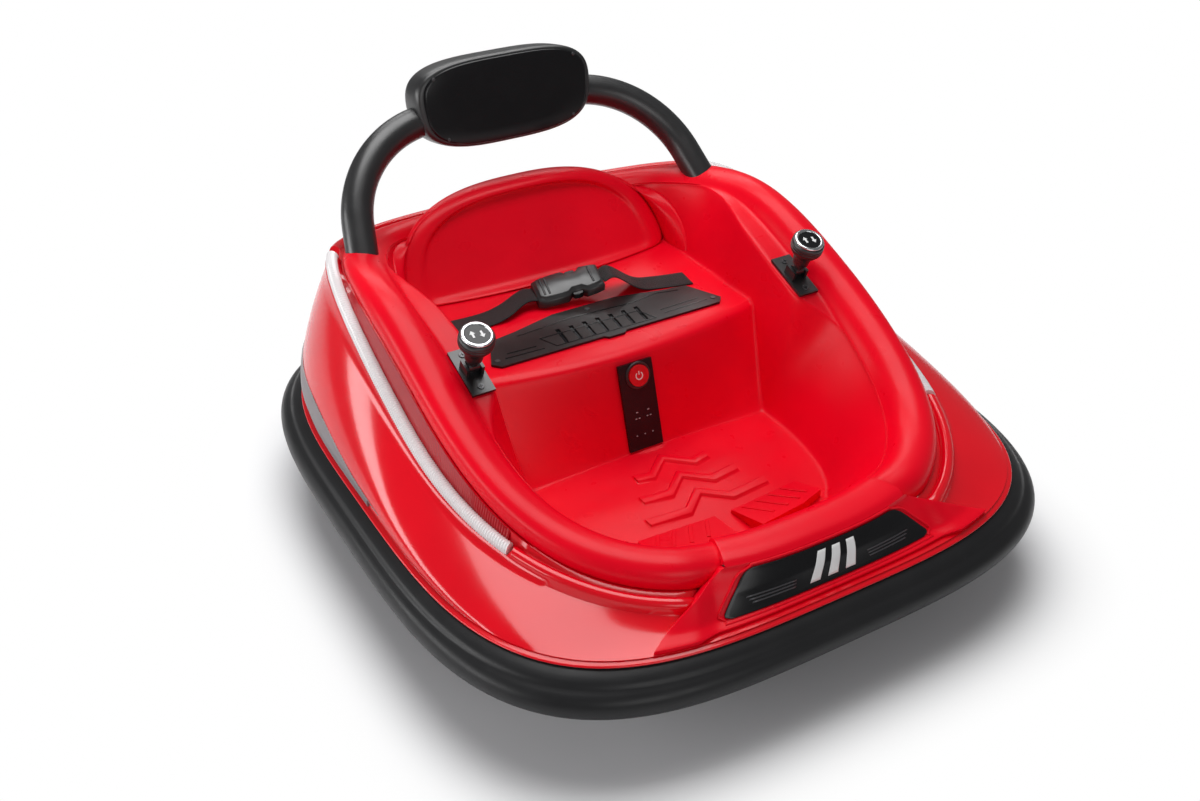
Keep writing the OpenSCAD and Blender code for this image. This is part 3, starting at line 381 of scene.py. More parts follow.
def shell_section(t):
    lip, top = SKIRT_INSET - LIP_WIDTH, BUMPER_TOP
    foot = wall_at(t, 0)
    wall = [wall_at(t, f) for f in np.linspace(0, 0.96, 16)]
    bend, groove = (-1, LAMP_RADIUS + 0.3) if in_lamp(t) else (1, bead_radius(t))
    bead = [(bead_line(t) + groove * math.cos(a), bead_height(t) + bend * groove * math.sin(a))
            for a in np.radians(np.linspace(5, 172, 11))]
    edge, high = rim_reach(t), rim_edge(t)
    lower = [(bumper_loop(t, SKIRT_INSET), 70), (bumper_loop(t, SKIRT_INSET), top + 0.3),
             (bumper_loop(t, lip + 0.7), top + 0.3), (bumper_loop(t, lip), top + 0.9),
             (bumper_loop(t, lip + 0.2), top + 1.8),
             (bumper_loop(t, lip + 1.2), top + LIP_HEIGHT), (bumper_loop(t, SKIRT_INSET + 0.9), top + LIP_HEIGHT + 0.2),
             (bumper_loop(t, SKIRT_INSET + 1.5), top + LIP_HEIGHT + 0.8),
             (bumper_loop(t, SKIRT_INSET + 1.5), foot[1] - 0.8)]
    return lower + wall + bead + [(edge + mix(1, -4, nose_share(t)), high - 1.5), (edge - 6, high - 0.3)]


add_mesh("shell", *grid(polar(ROUND, [shell_section(t) for t in ROUND]), True), red_gloss, stands_for=["body_shell"],
         slot="gloss_red", thickness=1.8, sharp=math.radians(50))

# Lamp strips and side lenses, ribbed

for side, label in ((1, "left"), (-1, "right")):
    angles = np.arange(55, 135.01, 0.27)
    rib = (LAMP_RADIUS + 0.8) * np.where(np.arange(len(angles)) % 2, 0.88, 1.0)
    around = np.radians(np.arange(-172, 188, 24))
    strip = np.stack([bead_line(angles)[:, None] + rib[:, None] * np.cos(around),
                      bead_height(angles)[:, None] + rib[:, None] * np.sin(around)], -1)
    add_mesh(f"lamp_strip_{label}", *capped(polar(side * angles, strip)), clear_lens, stands_for=[f"lamp_{label}"],
             slot="clear_lens", sharp=math.radians(25))
    # The wall between the strip and the rim is ribbed too; its darker red is painted shade of the groove
    angles = np.arange(56, 134.01, 0.3)
    proud = 0.5 + 0.5 * (np.arange(len(angles)) % 2)
    start = np.stack([bead_line(angles) - LAMP_RADIUS * 0.9, bead_height(angles) + 3.0], -1)
    stop = np.stack([rim_reach(angles) + 1.0, rim_edge(angles) - 2.2], -1)
    wall = np.stack([mix(start, stop, f) + np.stack([proud, 0.3 * proud], -1) for f in np.linspace(0, 1, 6)], 1)
    add_mesh(f"groove_ribs_{label}", *capped(polar(side * angles, thick(wall))), red_groove_shade, slot="gloss_red",
             sharp=math.radians(25))
    angles = np.arange(88, 140.01, 0.24)
    proud = 1.8 - 1.1 * (np.arange(len(angles)) % 2)
    low, high = BUMPER_TOP + LIP_HEIGHT + 2, BUMPER_TOP + LIP_HEIGHT + 2 + LENS_BAND * ease((angles - 50) / 35) - 2.5
    back = bumper_loop(angles, SKIRT_INSET + 1.5) + 0.3
    lens = np.stack([np.stack([r, np.broadcast_to(z, r.shape)], -1) for r, z in
                     ((back, low), (back + proud, low), (back + proud, high), (back, high))], 1)
    add_mesh(f"side_lens_piece_{label}", *capped(polar(side * angles, lens)), smoke_lens,
             stands_for=[f"side_lens_{label}"], slot="clear_lens", sharp=math.radians(30))
    angles = np.arange(82, 139.01, 0.4)
    proud = 1.3 - 1.0 * (np.arange(len(angles)) % 2)
    reach = 0.23 * ease((angles - 82) / 34)
    crescent = np.stack([[(r + d, z) for f in np.linspace(0, 1, 6) for r, z in [wall_at(t, f * h)]]
                         for t, d, h in zip(angles, proud, reach)])
    add_mesh(f"side_lens_crescent_{label}", *capped(polar(side * angles, thick(crescent))), smoke_lens,
             slot="clear_lens", sharp=math.radians(25))

# Cockpit tub: a cage that subdivision rounds


def ledge_share(t):
    return ease((folded(t) - 72) / 12) * (1 - ease((folded(t) - 114) / 20))


def rim_points(t):
    edge, high, rise = rim_reach(t), rim_edge(t), crown_rise(t)
    wide = RIM_WIDTH * (1 - 0.3 * ease((folded(t) - 138) / 12))
    inner = edge - wide
    shelf_end = inner - 1.5 - LEDGE_WIDTH * ledge_share(t)

    def shelf(r):
        wave = rim_edge_at(r * math.cos(math.radians(t))) - rim_edge_at(edge_x(t))
        return high + SHELF_RISE + ledge_share(t) * wave
    roll_over = [(0, 0), (1 / wide, 0.35), (-0.05, 0.70), (-0.2, 0.94), (-0.42, 1.02), (-0.66, 0.92), (-0.86, 0.62)]
    return ([(edge + f * wide, high + g * rise) for f, g in roll_over]
            + [(inner + 1, shelf(inner) + 1.2), (inner - 2.5, shelf(inner)), (shelf_end + 2, shelf(shelf_end)),
               (shelf_end, shelf(shelf_end) - 1)])


front_angles = [-83, *range(-80, 81, 5), 83]
corner_angles = [88, 93, 98]
rear_angles = [104, *range(110, 251, 5), 256]
tub_angles = front_angles + corner_angles + rear_angles + [360 - t for t in reversed(corner_angles)]
rear_first = len(front_angles) + 3


def tub_zone(i):
    """Front floor, seat or a line of the seat's front corner."""
    if i < len(front_angles):
        return "floor"
    if rear_first <= i < rear_first + len(rear_angles):
        return "seat"
    return i - len(front_angles) if i < rear_first else len(tub_angles) - 1 - i


def tub_foot(i):
    """Where the wall meets the floor, and the point of the middle line that belongs to it."""
    t, zone = tub_angles[i], tub_zone(i)
    c, s = math.cos(math.radians(t)), math.sin(math.radians(t))
    if zone == "floor":
        r = plan_loop(t, FLOOR_FRONT, FLOOR_FRONT, FLOOR_HALF, 3, 3)
        return np.array([r * c, r * s, FLOOR_HEIGHT]), np.array([SEAT_FOOT, 0, FLOOR_HEIGHT])
    if zone == "seat":
        r = plan_loop(t, SEAT_REAR, SEAT_REAR, SEAT_HALF, 10, 10)
        return np.array([r * c, r * s, SEAT_HEIGHT]), np.array([SEAT_EDGE, 0, SEAT_HEIGHT])
    x, drop = SEAT_CORNER[zone]
    z = SEAT_HEIGHT - drop
    half = mix(FLOOR_HALF, SEAT_HALF, (z - FLOOR_HEIGHT) / (SEAT_HEIGHT - FLOOR_HEIGHT))
    return np.array([x - SEAT_BOW, math.copysign(half, s), z]), np.array([x, 0, z])


def tub_row(i):
    rim = polar(np.array([tub_angles[i]]), [rim_points(tub_angles[i])])[0]
    foot, middle = tub_foot(i)
    wall = [mix(rim[-1], foot, f) for f in (0.3, 0.65, 0.92)]
    floor = [np.array([mix(middle[0], foot[0], (1 - f) ** 2), mix(foot[1], middle[1], f), foot[2]])
             for f in (0, 0.06, 0.3, 0.65)]
    return list(rim) + wall + floor, middle


rows, middles = zip(*[tub_row(i) for i in range(len(tub_angles))])
points, faces = grid(rows, closed_rows=True)
points = np.vstack([points, middles])
count, across = len(rows), len(rows[0])
for i in range(count):
    j = (i + 1) % count
    faces.append((i * across + across - 1, count * across + i, count * across + j, j * across + across - 1))
add_mesh("tub", points, faces, red_satin, stands_for=["cockpit_tub"], slot="satin_red", levels=2, thickness=2.0)

# Nose panel and the plate on it


NOSE_PROUD = 5.0


def nose_face(t, f):
    edge, high = rim_loop(t) - 4, rim_edge_at(edge_x(t)) + 0.78 * RIM_CROWN
    return mix(edge, bumper_loop(t, SKIRT_INSET + 16), f**1.5), mix(high, 116.4, f)


def nose_skin(t, f):
    """The nose panel's outer face, with its raised sides and its foot on the lip."""
    r, z = nose_face(t, f)
    side, foot = ease((abs(t) - 21) / 3.5), ease((f - 0.86) / 0.14)
    return (r + (NOSE_PROUD + 7 * side) * ease(2 * f) + 6 * foot,
            z - 2.0 * f**3 * (1 - side) * (1 - foot) + 2.5 * side * ease(2 * f) + 2.0 * foot)


def nose_point(s, k):
    """Across s from -1 to 1, and k from the cockpit edge (0) over the crown (1) to the foot (2)."""
    wide = mix(NOSE_TOP_ANGLE, NOSE_ANGLE, max(0, k - 1))
    t = s * wide
    edge, tuck, high = rim_loop(t), rim_reach(t), rim_edge_at(edge_x(t))
    crown = through([(tuck - 0.94 * RIM_WIDTH, high - NOSE_DIP + 0.34 * RIM_CROWN + 2.4),
                     (tuck - 0.86 * RIM_WIDTH, high - NOSE_DIP + 0.62 * RIM_CROWN + 3),
                     (tuck - 0.64 * RIM_WIDTH, high + 0.92 * RIM_CROWN - 0.4),
                     (mix(tuck, edge, 0.5) - 0.4 * RIM_WIDTH, high + RIM_CROWN),
                     (edge - 0.22 * RIM_WIDTH, high + 0.95 * RIM_CROWN), nose_face(t, 0)], 4)
    if k <= 1:
        r, z = crown[int(round(k * (len(crown) - 1)))]
    else:
        r, z = nose_skin(t, k - 1)
    return r * math.cos(math.radians(t)), r * math.sin(math.radians(t)), z


levels = [*np.linspace(0, 1, 21), *np.linspace(1.05, 2, 20)]
panel = [[nose_point(s, k) for k in levels] for s in np.linspace(-1, 1, 61)]
add_mesh("nose", *grid(panel), red_satin, stands_for=["nose_panel"], slot="satin_red", thickness=12, bevel=4.5)


# The plate's half angles and its share of the face, each at head and foot
PLATE_ANGLES, PLATE_SPAN, PLATE_CORNER = (15.8, 20.5), (0.1, 0.88), 1.7


def plate_point(s, f, lift):
    """On the nose plate: across s from -1 to 1, down f from 0 to 1, standing off by lift."""
    corner = max(0, 1 - f / 0.26, 1 - (1 - f) / 0.14)
    t = s * (mix(*PLATE_ANGLES, f) - PLATE_CORNER * (1 - math.sqrt(1 - min(1, corner) ** 2)))
    r, z = nose_skin(t, mix(*PLATE_SPAN, f))
    r, z = r + lift, z + 0.3 * lift
    return r * math.cos(math.radians(t)), r * math.sin(math.radians(t)), z


def on_plate(outline, lift, steps=10):
    """A flat figure laid on the plate: a quadrilateral of (s, f) corners as a fine net."""
    a, b, c, d = (np.array(p) for p in outline)
    rows = [[plate_point(*mix(mix(a, b, u), mix(d, c, u), v), lift) for u in np.linspace(0, 1, steps)]
            for v in np.linspace(0, 1, steps)]
    return grid(rows)


plate = [[plate_point(s, f, 2.2) for f in np.linspace(0, 1, 25)] for s in np.linspace(-1, 1, 49)]
add_mesh("nose_plate_piece", *grid(plate), black_gloss, stands_for=["nose_plate"], slot="gloss_black",
         thickness=1.2, bevel=0.5)
BARS = ((-0.24, 0.10), (-0.06, 0.10), (0.12, 0.10))
for i, (start, wide) in enumerate(BARS):
    corners = ((start + 0.10, 0.14), (start + wide + 0.10, 0.14), (start + wide, 0.86), (start, 0.86))
    add_mesh(f"plate_bar_{i}", *on_plate(corners, 2.5), white_print, thickness=0.2)
for i, f in enumerate((0.62, 0.70, 0.78)):
    for side in (-1, 1):
        ends = sorted((side * 0.38, side * (0.86 - 0.04 * i)))
        corners = ((ends[0], f), (ends[1], f), (ends[1], f + 0.035), (ends[0], f + 0.035))
        add_mesh(f"plate_line_{i}_{'left' if side > 0 else 'right'}", *on_plate(corners, 2.5), grey_print,
                 thickness=0.2)

# Backrest: an arch with a rolled border and a hollow

BACK_HALF, BACK_RISE, BACK_FOOT, BACK_SLOPE, BACK_BASE = 171, 99, -197, 0.76, SEAT_HEIGHT + 0.3


def back_spot(y, z, depth):
    bow = (y / BACK_HALF) ** 2
    return BACK_FOOT - BACK_SLOPE * (z - BACK_BASE) - 18 * bow - depth * (1 - 0.75 * bow), y, z


def back_loop(scale, depth, foot):
    loop = []
    for a in np.radians(np.arange(0, 180.1, 6)):
        r = scale * ((abs(math.cos(a)) / BACK_HALF) ** 2.6 + (abs(math.sin(a)) / BACK_RISE) ** 2.6) ** (-1 / 2.6)
        loop.append(back_spot(r * math.cos(a), BACK_BASE + foot + r * math.sin(a), depth))
    return loop + [back_spot(f * scale * BACK_HALF, BACK_BASE + foot, depth) for f in np.linspace(-0.85, 0.85, 11)]


def stacked(loops):
    points, faces = grid(loops, closed_columns=True)
    n, m = np.asarray(loops).shape[:2]
    ends = [np.mean(loops[0], 0), np.mean(loops[-1], 0)]
    faces += [(n * m, k, (k + 1) % m) for k in range(m)]
    faces += [(n * m + 1, (n - 1) * m + k, (n - 1) * m + (k + 1) % m) for k in range(m)]
    return np.vstack([points, ends]), faces


back_layers = ((0.9, 28, 0), (0.97, 26, 0), (1, 20, 0), (1, 8, 0), (0.985, 2, 0), (0.955, -2.2, 1), (0.915, -3, 2),
               (0.88, -1, 3), (0.855, 3.5, 4), (0.835, 7, 5.5), (0.79, 8.5, 8), (0.45, 9, 16))
add_mesh("back", *stacked([back_loop(*layer) for layer in back_layers]), red_satin, stands_for=["backrest"],
         slot="satin_red", levels=2)

# The tub rises in a valley between its rim and the backrest


def valley_row(a):
    """From the rim's inner edge or the wall below it to the backrest's edge, at an angle of the arch."""
    low = min(a, 180 - a)
    t = 135 + 45 * float(ease((low - 6) / 84))
    t = t if a < 90 else 360 - t
    rim = polar(np.array([t]), [rim_points(t)])[0]
    top = np.array(rim[-3])
    c, s = math.cos(math.radians(t)), math.sin(math.radians(t))
    r = plan_loop(t, SEAT_REAR, SEAT_REAR, SEAT_HALF, 10, 10)
    wall = mix(np.array([r * c, r * s, SEAT_HEIGHT]), top, float(ease(low / 40)))
    k = math.radians(a)
    r = 0.995 * ((abs(math.cos(k)) / BACK_HALF) ** 2.6 + (abs(math.sin(k)) / BACK_RISE) ** 2.6) ** (-1 / 2.6)
    edge = np.array(back_spot(r * math.cos(k), BACK_BASE + r * math.sin(k), 8))
    sag = 8 * float(ease(low / 40))
    return [mix(wall, edge, f) - (0, 0, sag * 4 * f * (1 - f)) for f in np.linspace(0, 1, 7)]


add_mesh("rear_valley", *grid([valley_row(a) for a in np.arange(0, 180.1, 3)]), red_satin, slot="satin_red",
         levels=1, thickness=1.5)

# Roll bar and the headrest

BAR_RADIUS, BAR_SPAN, BAR_LEAN, BAR_BEND, POST_LEAN, POST_HEIGHT = 17.5, 432, 43, 130, 11.5, 20
BAR_FOOT = np.array([-226.5, 0, 268.6])
lean, post = math.radians(BAR_LEAN), math.radians(POST_LEAN)
bend_start = BAR_SPAN / 2 - POST_HEIGHT * math.tan(post)
bend_middle = bend_start - BAR_BEND * math.cos(post)
bar_crest = POST_HEIGHT + BAR_BEND * (1 - math.sin(post))


def on_bar(x, y, z):
    """From the bar's own plane to the car's frame."""
    return BAR_FOOT + (x * math.cos(lean) - z * math.sin(lean), y, x * math.sin(lean) + z * math.cos(lean))


def tube(path, radii, sides=28):
    """A round tube along a path in the bar's plane: (y, z) points."""
    path = np.asarray(path, float)
    along = np.gradient(path, axis=0)
    along /= np.linalg.norm(along, axis=1)[:, None]
    out = np.stack([along[:, 1], -along[:, 0]], 1)
    around = np.linspace(0, 2 * math.pi, sides, endpoint=False)
    return [[on_bar(r * math.sin(a), *(p + o * r * math.cos(a))) for a in around]
            for p, o, r in zip(path, out, radii)]


arc = [(bend_middle + BAR_BEND * math.cos(a), bar_crest - BAR_BEND + BAR_BEND * math.sin(a))
       for a in np.linspace(post, math.pi / 2, 30)]
foot = [(BAR_SPAN / 2 + d * math.tan(post), -d) for d in (20, 8, 0)]
half_path = foot + arc
bar_path = half_path + [(y, bar_crest) for y in (40, 0, -40)] + [(-y, z) for y, z in reversed(half_path)]
add_mesh("bar", *capped(tube(bar_path, [BAR_RADIUS] * len(bar_path))), black_satin, stands_for=["roll_bar"],
         slot="bumper_black")
PAD_WIDTH, PAD_HEIGHT, PAD_DEPTH, PAD_LEAN, PAD_SQUARENESS = 222, 100, 46, math.radians(12), 3.3
pad_centre = BAR_FOOT + bar_crest * np.array([-math.sin(lean), 0, math.cos(lean)]) + (-4.6, 0, 10)


def on_pad(x, y, z):
    c, s = math.cos(PAD_LEAN), math.sin(PAD_LEAN)
    return pad_centre + (x * c - z * s, y, x * s + z * c)


def pad_loop(scale, x, step=7.5):
    loop = []
    for a in np.radians(np.arange(0, 360, step)):
        wide = PAD_WIDTH / 2 * (1 + 0.08 * math.sin(a))
        r = scale * ((abs(math.cos(a)) / wide) ** PAD_SQUARENESS
                     + (abs(math.sin(a)) / (PAD_HEIGHT / 2)) ** PAD_SQUARENESS) ** (-1 / PAD_SQUARENESS)
        loop.append(on_pad(x - PAD_DEPTH / 2, r * math.cos(a), r * math.sin(a)))
    return loop


pad_layers = ((0.6, -0.5), (0.86, 0), (0.95, 3), (0.99, 9), (1.0, 16), (1.0, 32), (0.995, 40),
              (0.975, 44.5), (0.945, 46), (0.9, 46))
add_mesh("headrest_body", *stacked([pad_loop(*layer) for layer in pad_layers]), black_satin, stands_for=["headrest"],
         slot="bumper_black", levels=2)
plate_layers = ((0.915, 46), (0.915, 48.2), (0.905, 49), (0.89, 49.3), (0.6, 49.3))
add_mesh("headrest_face", *stacked([pad_loop(s, x, 3) for s, x in plate_layers]), black_gloss,
         stands_for=["headrest_plate"], slot="gloss_black")

def lathe(profile, place, sides=40):
    """Rows of a turned piece: (radius, height) points, laid by a function of x, y, z."""
    turn = np.linspace(0, 2 * math.pi, sides, endpoint=False)
    return [[place(r * math.cos(a), r * math.sin(a), h) for a in turn] for r, h in profile]


def disc(place, radius, low, high, sides=24):
    """A small round head with a chamfer."""
    chamfer = min(0.3, radius * 0.2)
    return stacked(lathe([(radius, low), (radius, high - chamfer), (radius - chamfer, high)], place, sides))


def joined(parts):
    """Several nets of points and faces as one."""
    points, faces = [], []
    for some_points, some_faces in parts:
        start = len(points)
        points += [tuple(q) for q in some_points]
        faces += [tuple(start + i for i in face) for face in some_faces]
    return points, faces


def prism(outline, place, low, high):
    """A flat figure of (x, y) corners, raised from low to high."""
    return capped([[place(x, y, z) for x, y in outline] for z in (low, high)])


def stroke(a, b, width):
    """The corners of a straight line of some width."""
    a, b = np.array(a, float), np.array(b, float)
    d = (b - a) / np.linalg.norm(b - a)
    n = np.array([-d[1], d[0]]) * width / 2
    return [a - n, b - n, b + n, a + n]


for i, (y, z) in enumerate(((-80, -34), (80, -34), (-88, 34), (88, 34))):
    add_mesh(f"headrest_screw_{i}", *disc(lambda u, v, h, y=y, z=z: on_pad(h, y + u, z + v), 2.0, 25.6, 26.5),
             steel_dark, slot="gloss_black")

# Levers: grooved knobs on thick stems, each with a ringed disc and two arrows

LEVER_SPAN, LEVER_LIFT, PIVOT = 395, SHELF_RISE + 0.4, 11
lever_slope = math.atan((rim_edge_at(-28) - rim_edge_at(28)) / 56)
BARREL, BORE = 6, 2.75
LEVER_PROFILE = ((5.0, 3.2), (5.5, 3.6), (5.5, 10.6), (8.4, 11.0), (9.1, 11.7), (9.5, 16), (10.1, 21), (11.0, 24),
                 (13.0, 26.6), (15.4, 29),
                 (17.0, 31.6), (17.9, 34.4), (18.0, 36), (17.3, 36.5), (17.3, 37.1), (18.0, 37.6), (18.0, 39.2),
                 (17.3, 39.7), (17.3, 40.3), (17.9, 40.8), (17.6, 42.8), (16.4, 44.0))
RING_PROFILE = ((12.2, 44.2), (15.8, 44.3), (16.2, 44.8), (16.0, 45.6), (15.0, 46.2), (13.4, 46.3), (12.4, 46.0))
ARROW = ((-4.2, -1.1), (0.4, -1.1), (0.4, -2.9), (4.4, 0), (0.4, 2.9), (0.4, 1.1), (-4.2, 1.1))
for side, label in ((1, "left"), (-1, "right")):
    body = f"lever_{label}"

    def on_shelf(x, y, z, side=side):
        c, s = math.cos(lever_slope), math.sin(lever_slope)
        return x * c + z * s, side * LEVER_SPAN / 2 + y, rim_edge_at(0) + LEVER_LIFT - x * s + z * c

    def on_lever(x, y, z):
        return on_shelf(x, y, z + PIVOT)

    turn = np.linspace(0, 2 * math.pi, 32, endpoint=False)
    barrel = grid([[on_lever(r * math.sin(a), y, r * math.cos(a)) for a in turn]
                   for r, y in ((BARREL, -5.9), (BARREL, 5.9), (BORE, 5.9), (BORE, -5.9))], True, True)
    knob = stacked(lathe(LEVER_PROFILE, on_lever, 48))
    add_mesh(f"knob_{label}", *joined([barrel, knob]), black_satin, body=body, stands_for=[f"lever_{label}"],
             slot="black_plastic", sharp=math.radians(50))
    ring = grid(lathe(RING_PROFILE + RING_PROFILE[:1], on_lever, 48), closed_columns=True)
    add_mesh(f"knob_ring_{label}", *ring, silver, body=body, stands_for=[f"lever_cap_{label}"], slot="silver",
             sharp=math.radians(70))
    add_mesh(f"knob_disc_{label}", *disc(on_lever, 12.6, 44.1, 45.5, 40), black_gloss, body=body, slot="black_plastic")
    marks = [prism([(f * (1.2 + x), f * (4.6 + y)) for x, y in ARROW], on_lever, 45.4, 45.7) for f in (1, -1)]
    add_mesh(f"knob_arrows_{label}", *joined(marks), white_print, body=body, slot="silver")
    for i, x in enumerate((-21, 21)):
        def at_screw(u, v, h, x=x):
            return on_shelf(x + u, v, h)
        add_mesh(f"bracket_screw_{label}_{i}", *disc(at_screw, 3.6, 2.9, 4.0), steel_dark, slot="silver")
        cross = [prism(stroke(a, b, 0.9), at_screw, 3.9, 4.15)
                 for a, b in (((-2.2, 0), (2.2, 0)), ((0, -2.2), (0, 2.2)))]
        add_mesh(f"bracket_cross_{label}_{i}", *joined(cross), black_gloss, slot="silver")

# Belt: two woven straps and the arms of the buckle

BELT_BASE, STRAP_WIDTH = SEAT_HEIGHT + 0.3, 30
BUCKLE_X, BUCKLE_Y, BUCKLE_TURN, BUCKLE_LENGTH, BUCKLE_WIDTH = -152, -4, math.radians(-12), 78, 40


def by_buckle(x, y, z):
    c, s = math.cos(BUCKLE_TURN), math.sin(BUCKLE_TURN)
    lift = 0.14 * (y + 39) + 0.22 * (20 - x)
    return BUCKLE_X + x * c - y * s, BUCKLE_Y + x * s + y * c, BELT_BASE + z + lift


def strap(name, path, node):
    """A strap through (x, y, z, turn) points, with its weave laid along it."""
    path = through(path, 14)
    length = np.concatenate([[0], np.cumsum(np.linalg.norm(np.diff(path[:, :3], axis=0), axis=1))])
    section = [(-15, 0.4), (-14.6, 0), (-10, 0), (0, 0), (10, 0), (14.6, 0), (15, 0.4), (15, 1.2),
               (14.6, 1.6), (10, 1.45),
               (0, 1.6), (-10, 1.45), (-14.6, 1.6), (-15, 1.2)]
    rows = []
    for x, y, z, turn in path:
        c, s = math.cos(math.radians(turn)), math.sin(math.radians(turn))
        rows.append([(x + a * c, y + a * s, z + h) for a, h in section])
    obj = add_mesh(name, *capped(rows), webbing, stands_for=[node], slot="webbing", sharp=math.radians(60))
    layer = obj.data.uv_layers.new(name="UVMap")
    for loop in obj.data.loops:
        point = np.array(obj.data.vertices[loop.vertex_index].co) / MM
        i = int(np.argmin(np.linalg.norm(path[:, :2] - point[:2], axis=1)))
        turn = math.radians(path[i, 3])
        offset = point[:2] - path[i, :2]
        across = offset[0] * math.cos(turn) + offset[1] * math.sin(turn)
        along = length[i] - offset[0] * math.sin(turn) + offset[1] * math.cos(turn)
        layer.data[loop.index].uv = (across / STRAP_WIDTH, along / STRAP_WIDTH)
    return obj


def beside(y, z):
    return (*by_buckle(0, y, z), math.degrees(BUCKLE_TURN))


strap("strap_left", [beside(39.3, 6), beside(53.3, 7), (-136, 78, BELT_BASE + 4, -14), (-131, 104, BELT_BASE, -12),
                     (-122, 140, BELT_BASE, -8)], "belt_left")
strap("strap_right", [(-156, -160, BELT_BASE, 4), (-153, -112, BELT_BASE, 0), (-153, -86, BELT_BASE + 4, -4),
                      beside(-53.3, 7), beside(-39.3, 6)], "belt_right")


def buckle_outline(inset):
    w, l = BUCKLE_WIDTH / 2 - inset, BUCKLE_LENGTH / 2 - inset
    half = [(w - 4, -l), (w - 1, -l + 6), (w, -l + 20), (w, -4), (w - 5, 1), (w - 5, 13), (w, 18),
            (w - 1, l - 8), (w - 3, l)]
    return half + [(-x, y) for x, y in reversed(half)]


def buckle_level(inset, z):
    return [by_buckle(x, y, z) for x, y in buckle_outline(inset)]


BUCKLE_LEVELS = ((1.2, 0), (0, 1.4), (0, 8.6), (0.6, 9.6), (2.2, 10.3), (3.0, 12.2), (4.2, 13))
case = capped([buckle_level(*level) for level in BUCKLE_LEVELS])
add_mesh("buckle_case", *case, black_satin, stands_for=["buckle"], slot="black_plastic", sharp=math.radians(40))
ARM = ((15.6, 0.5), (19.6, 1.5), (20.6, 7), (19.6, 12.5), (15.6, 13.5))
arms = [prism([(f * x, y) for x, y in ARM], by_buckle, 2.4, 8.4) for f in (1, -1)]
add_mesh("buckle_arms", *joined(arms), black_gloss, slot="black_plastic", bevel=0.8)
bars = [prism(stroke((-13, y), (13, y), 2.4), by_buckle, 12.6, 13.9) for y in (-30, -24.5, 27)]
add_mesh("buckle_bars", *joined(bars), black_gloss, slot="black_plastic", bevel=0.5)

# Seat plate: engraved lines and screws


def on_seat(x, y, z):
    return x, y, SEAT_HEIGHT + 2.8 + z


LINES = (((-84, -77), (-83, 47)), ((-83, 47), (-59, 56)), ((-59, 56), (-62, -68)), ((-62, -68), (-84, -77)),
         ((-101, -96), (-107, -26)), ((-107, -26), (-102, 51)), ((-102, 51), (-107, 86)), ((-107, 86), (-101, 112)),
         ((-64, 70), (-66, 128)), ((-72, 70), (-74, 122)), ((-64, -82), (-66, -128)), ((-72, -88), (-74, -122)))
add_mesh("seat_plate_lines", *joined([prism(stroke(a, b, 1.4), on_seat, -0.2, 0.28) for a, b in LINES]), black_gloss,
         slot="dark_plate")
slots = prism([(-98, -72), (-58, -72), (-58, 66), (-98, 66)], on_seat, -2.4, -1.6)
add_mesh("seat_plate_back", *slots, black_gloss, slot="dark_plate")
for i, (x, y) in enumerate(((-66, 137), (-66, -137), (-115, 0))):
    add_mesh(f"seat_screw_{i}", *disc(lambda u, v, h, x=x, y=y: on_seat(x + u, y + v, h), 3.0, -0.2, 0.7), steel_dark,
             slot="dark_plate")

# Control panel: the button's ring and sign, and small marks

face_lean = math.atan(30 / (SEAT_HEIGHT - 9 - FLOOR_HEIGHT))


def on_panel(y, z, out):
    """On the seat's front face: across, up along the face and out of it."""
    c, s = math.cos(face_lean), math.sin(face_lean)
    x = out + 0.3
    return SEAT_FOOT + x * c - z * s, y, FLOOR_HEIGHT + x * s + z * c


def at_button(u, v, h):
    return on_panel(-2.5 + u, 84.5 + v, h)


BUTTON_RING = ((12.3, 3.0), (15.2, 3.0), (15.2, 3.9), (14.4, 4.6), (13.0, 4.6), (12.3, 4.0), (12.3, 3.0))
ring = grid(lathe(BUTTON_RING, at_button, 40),
            closed_columns=True)
add_mesh("button_ring", *ring, black_satin, slot="black_plastic")
sign = [(r * math.sin(a), r * math.cos(a)) for r, turn in ((4.6, 1), (3.5, -1))
        for a in np.linspace(math.radians(38), math.radians(322), 24)[::turn]]
icon = [prism(sign, at_button, 6.1, 6.5), prism(stroke((0, 1.2), (0, 5.2), 1.1), at_button, 6.1, 6.5)]
add_mesh("button_sign", *joined(icon), white_print, slot="gloss_red")
marks = [prism([(y - w, z - 0.6), (y + w, z - 0.6), (y + w, z + 0.6), (y - w, z + 0.6)], on_panel, 2.9, 3.25)
         for y, z, w in ((-10, 44, 1.3), (4, 44, 1.3), (-12, 37, 1.0), (-8, 37, 1.0), (2, 37, 1.0), (6, 37, 1.0),
                         (-14, 18, 0.7),
                         (-4, 18, 0.7), (6, 18, 0.7))]
add_mesh("panel_marks", *joined(marks), grey_mark, slot="black_plastic")
# Floor treads: raised chevrons with sloped sides

for i, (start, half) in enumerate(((38, 44), (73, 58), (107, 72))):
    middle = [(19, -half), (23, -26), (0, 0), (23, 26), (19, half)]

    def tread_level(spread, z):
        ends = [(x, y + math.copysign(spread, y) if abs(y) > 30 else y) for x, y in middle]
        return ([(start + x - spread, y, FLOOR_HEIGHT + z) for x, y in ends]
                + [(start + x + 11 + spread, y, FLOOR_HEIGHT + z) for x, y in reversed(ends)])

    levels = [tread_level(*level) for level in ((2.4, -0.1), (1.2, 0.6), (0.2, 2.4), (-0.4, 3.0), (-1.2, 3.3))]
    add_mesh(f"chevron_{i}", *capped(levels), red_satin, stands_for=["floor_treads"] if i == 0 else (),
             slot="satin_red",
             sharp=math.radians(50))

# Foot pads: raised bars


def on_foot_pad(x, y, z):
    return x, y, FLOOR_HEIGHT + 0.3 + 1.5 + 0.25 * (x - 150) + z


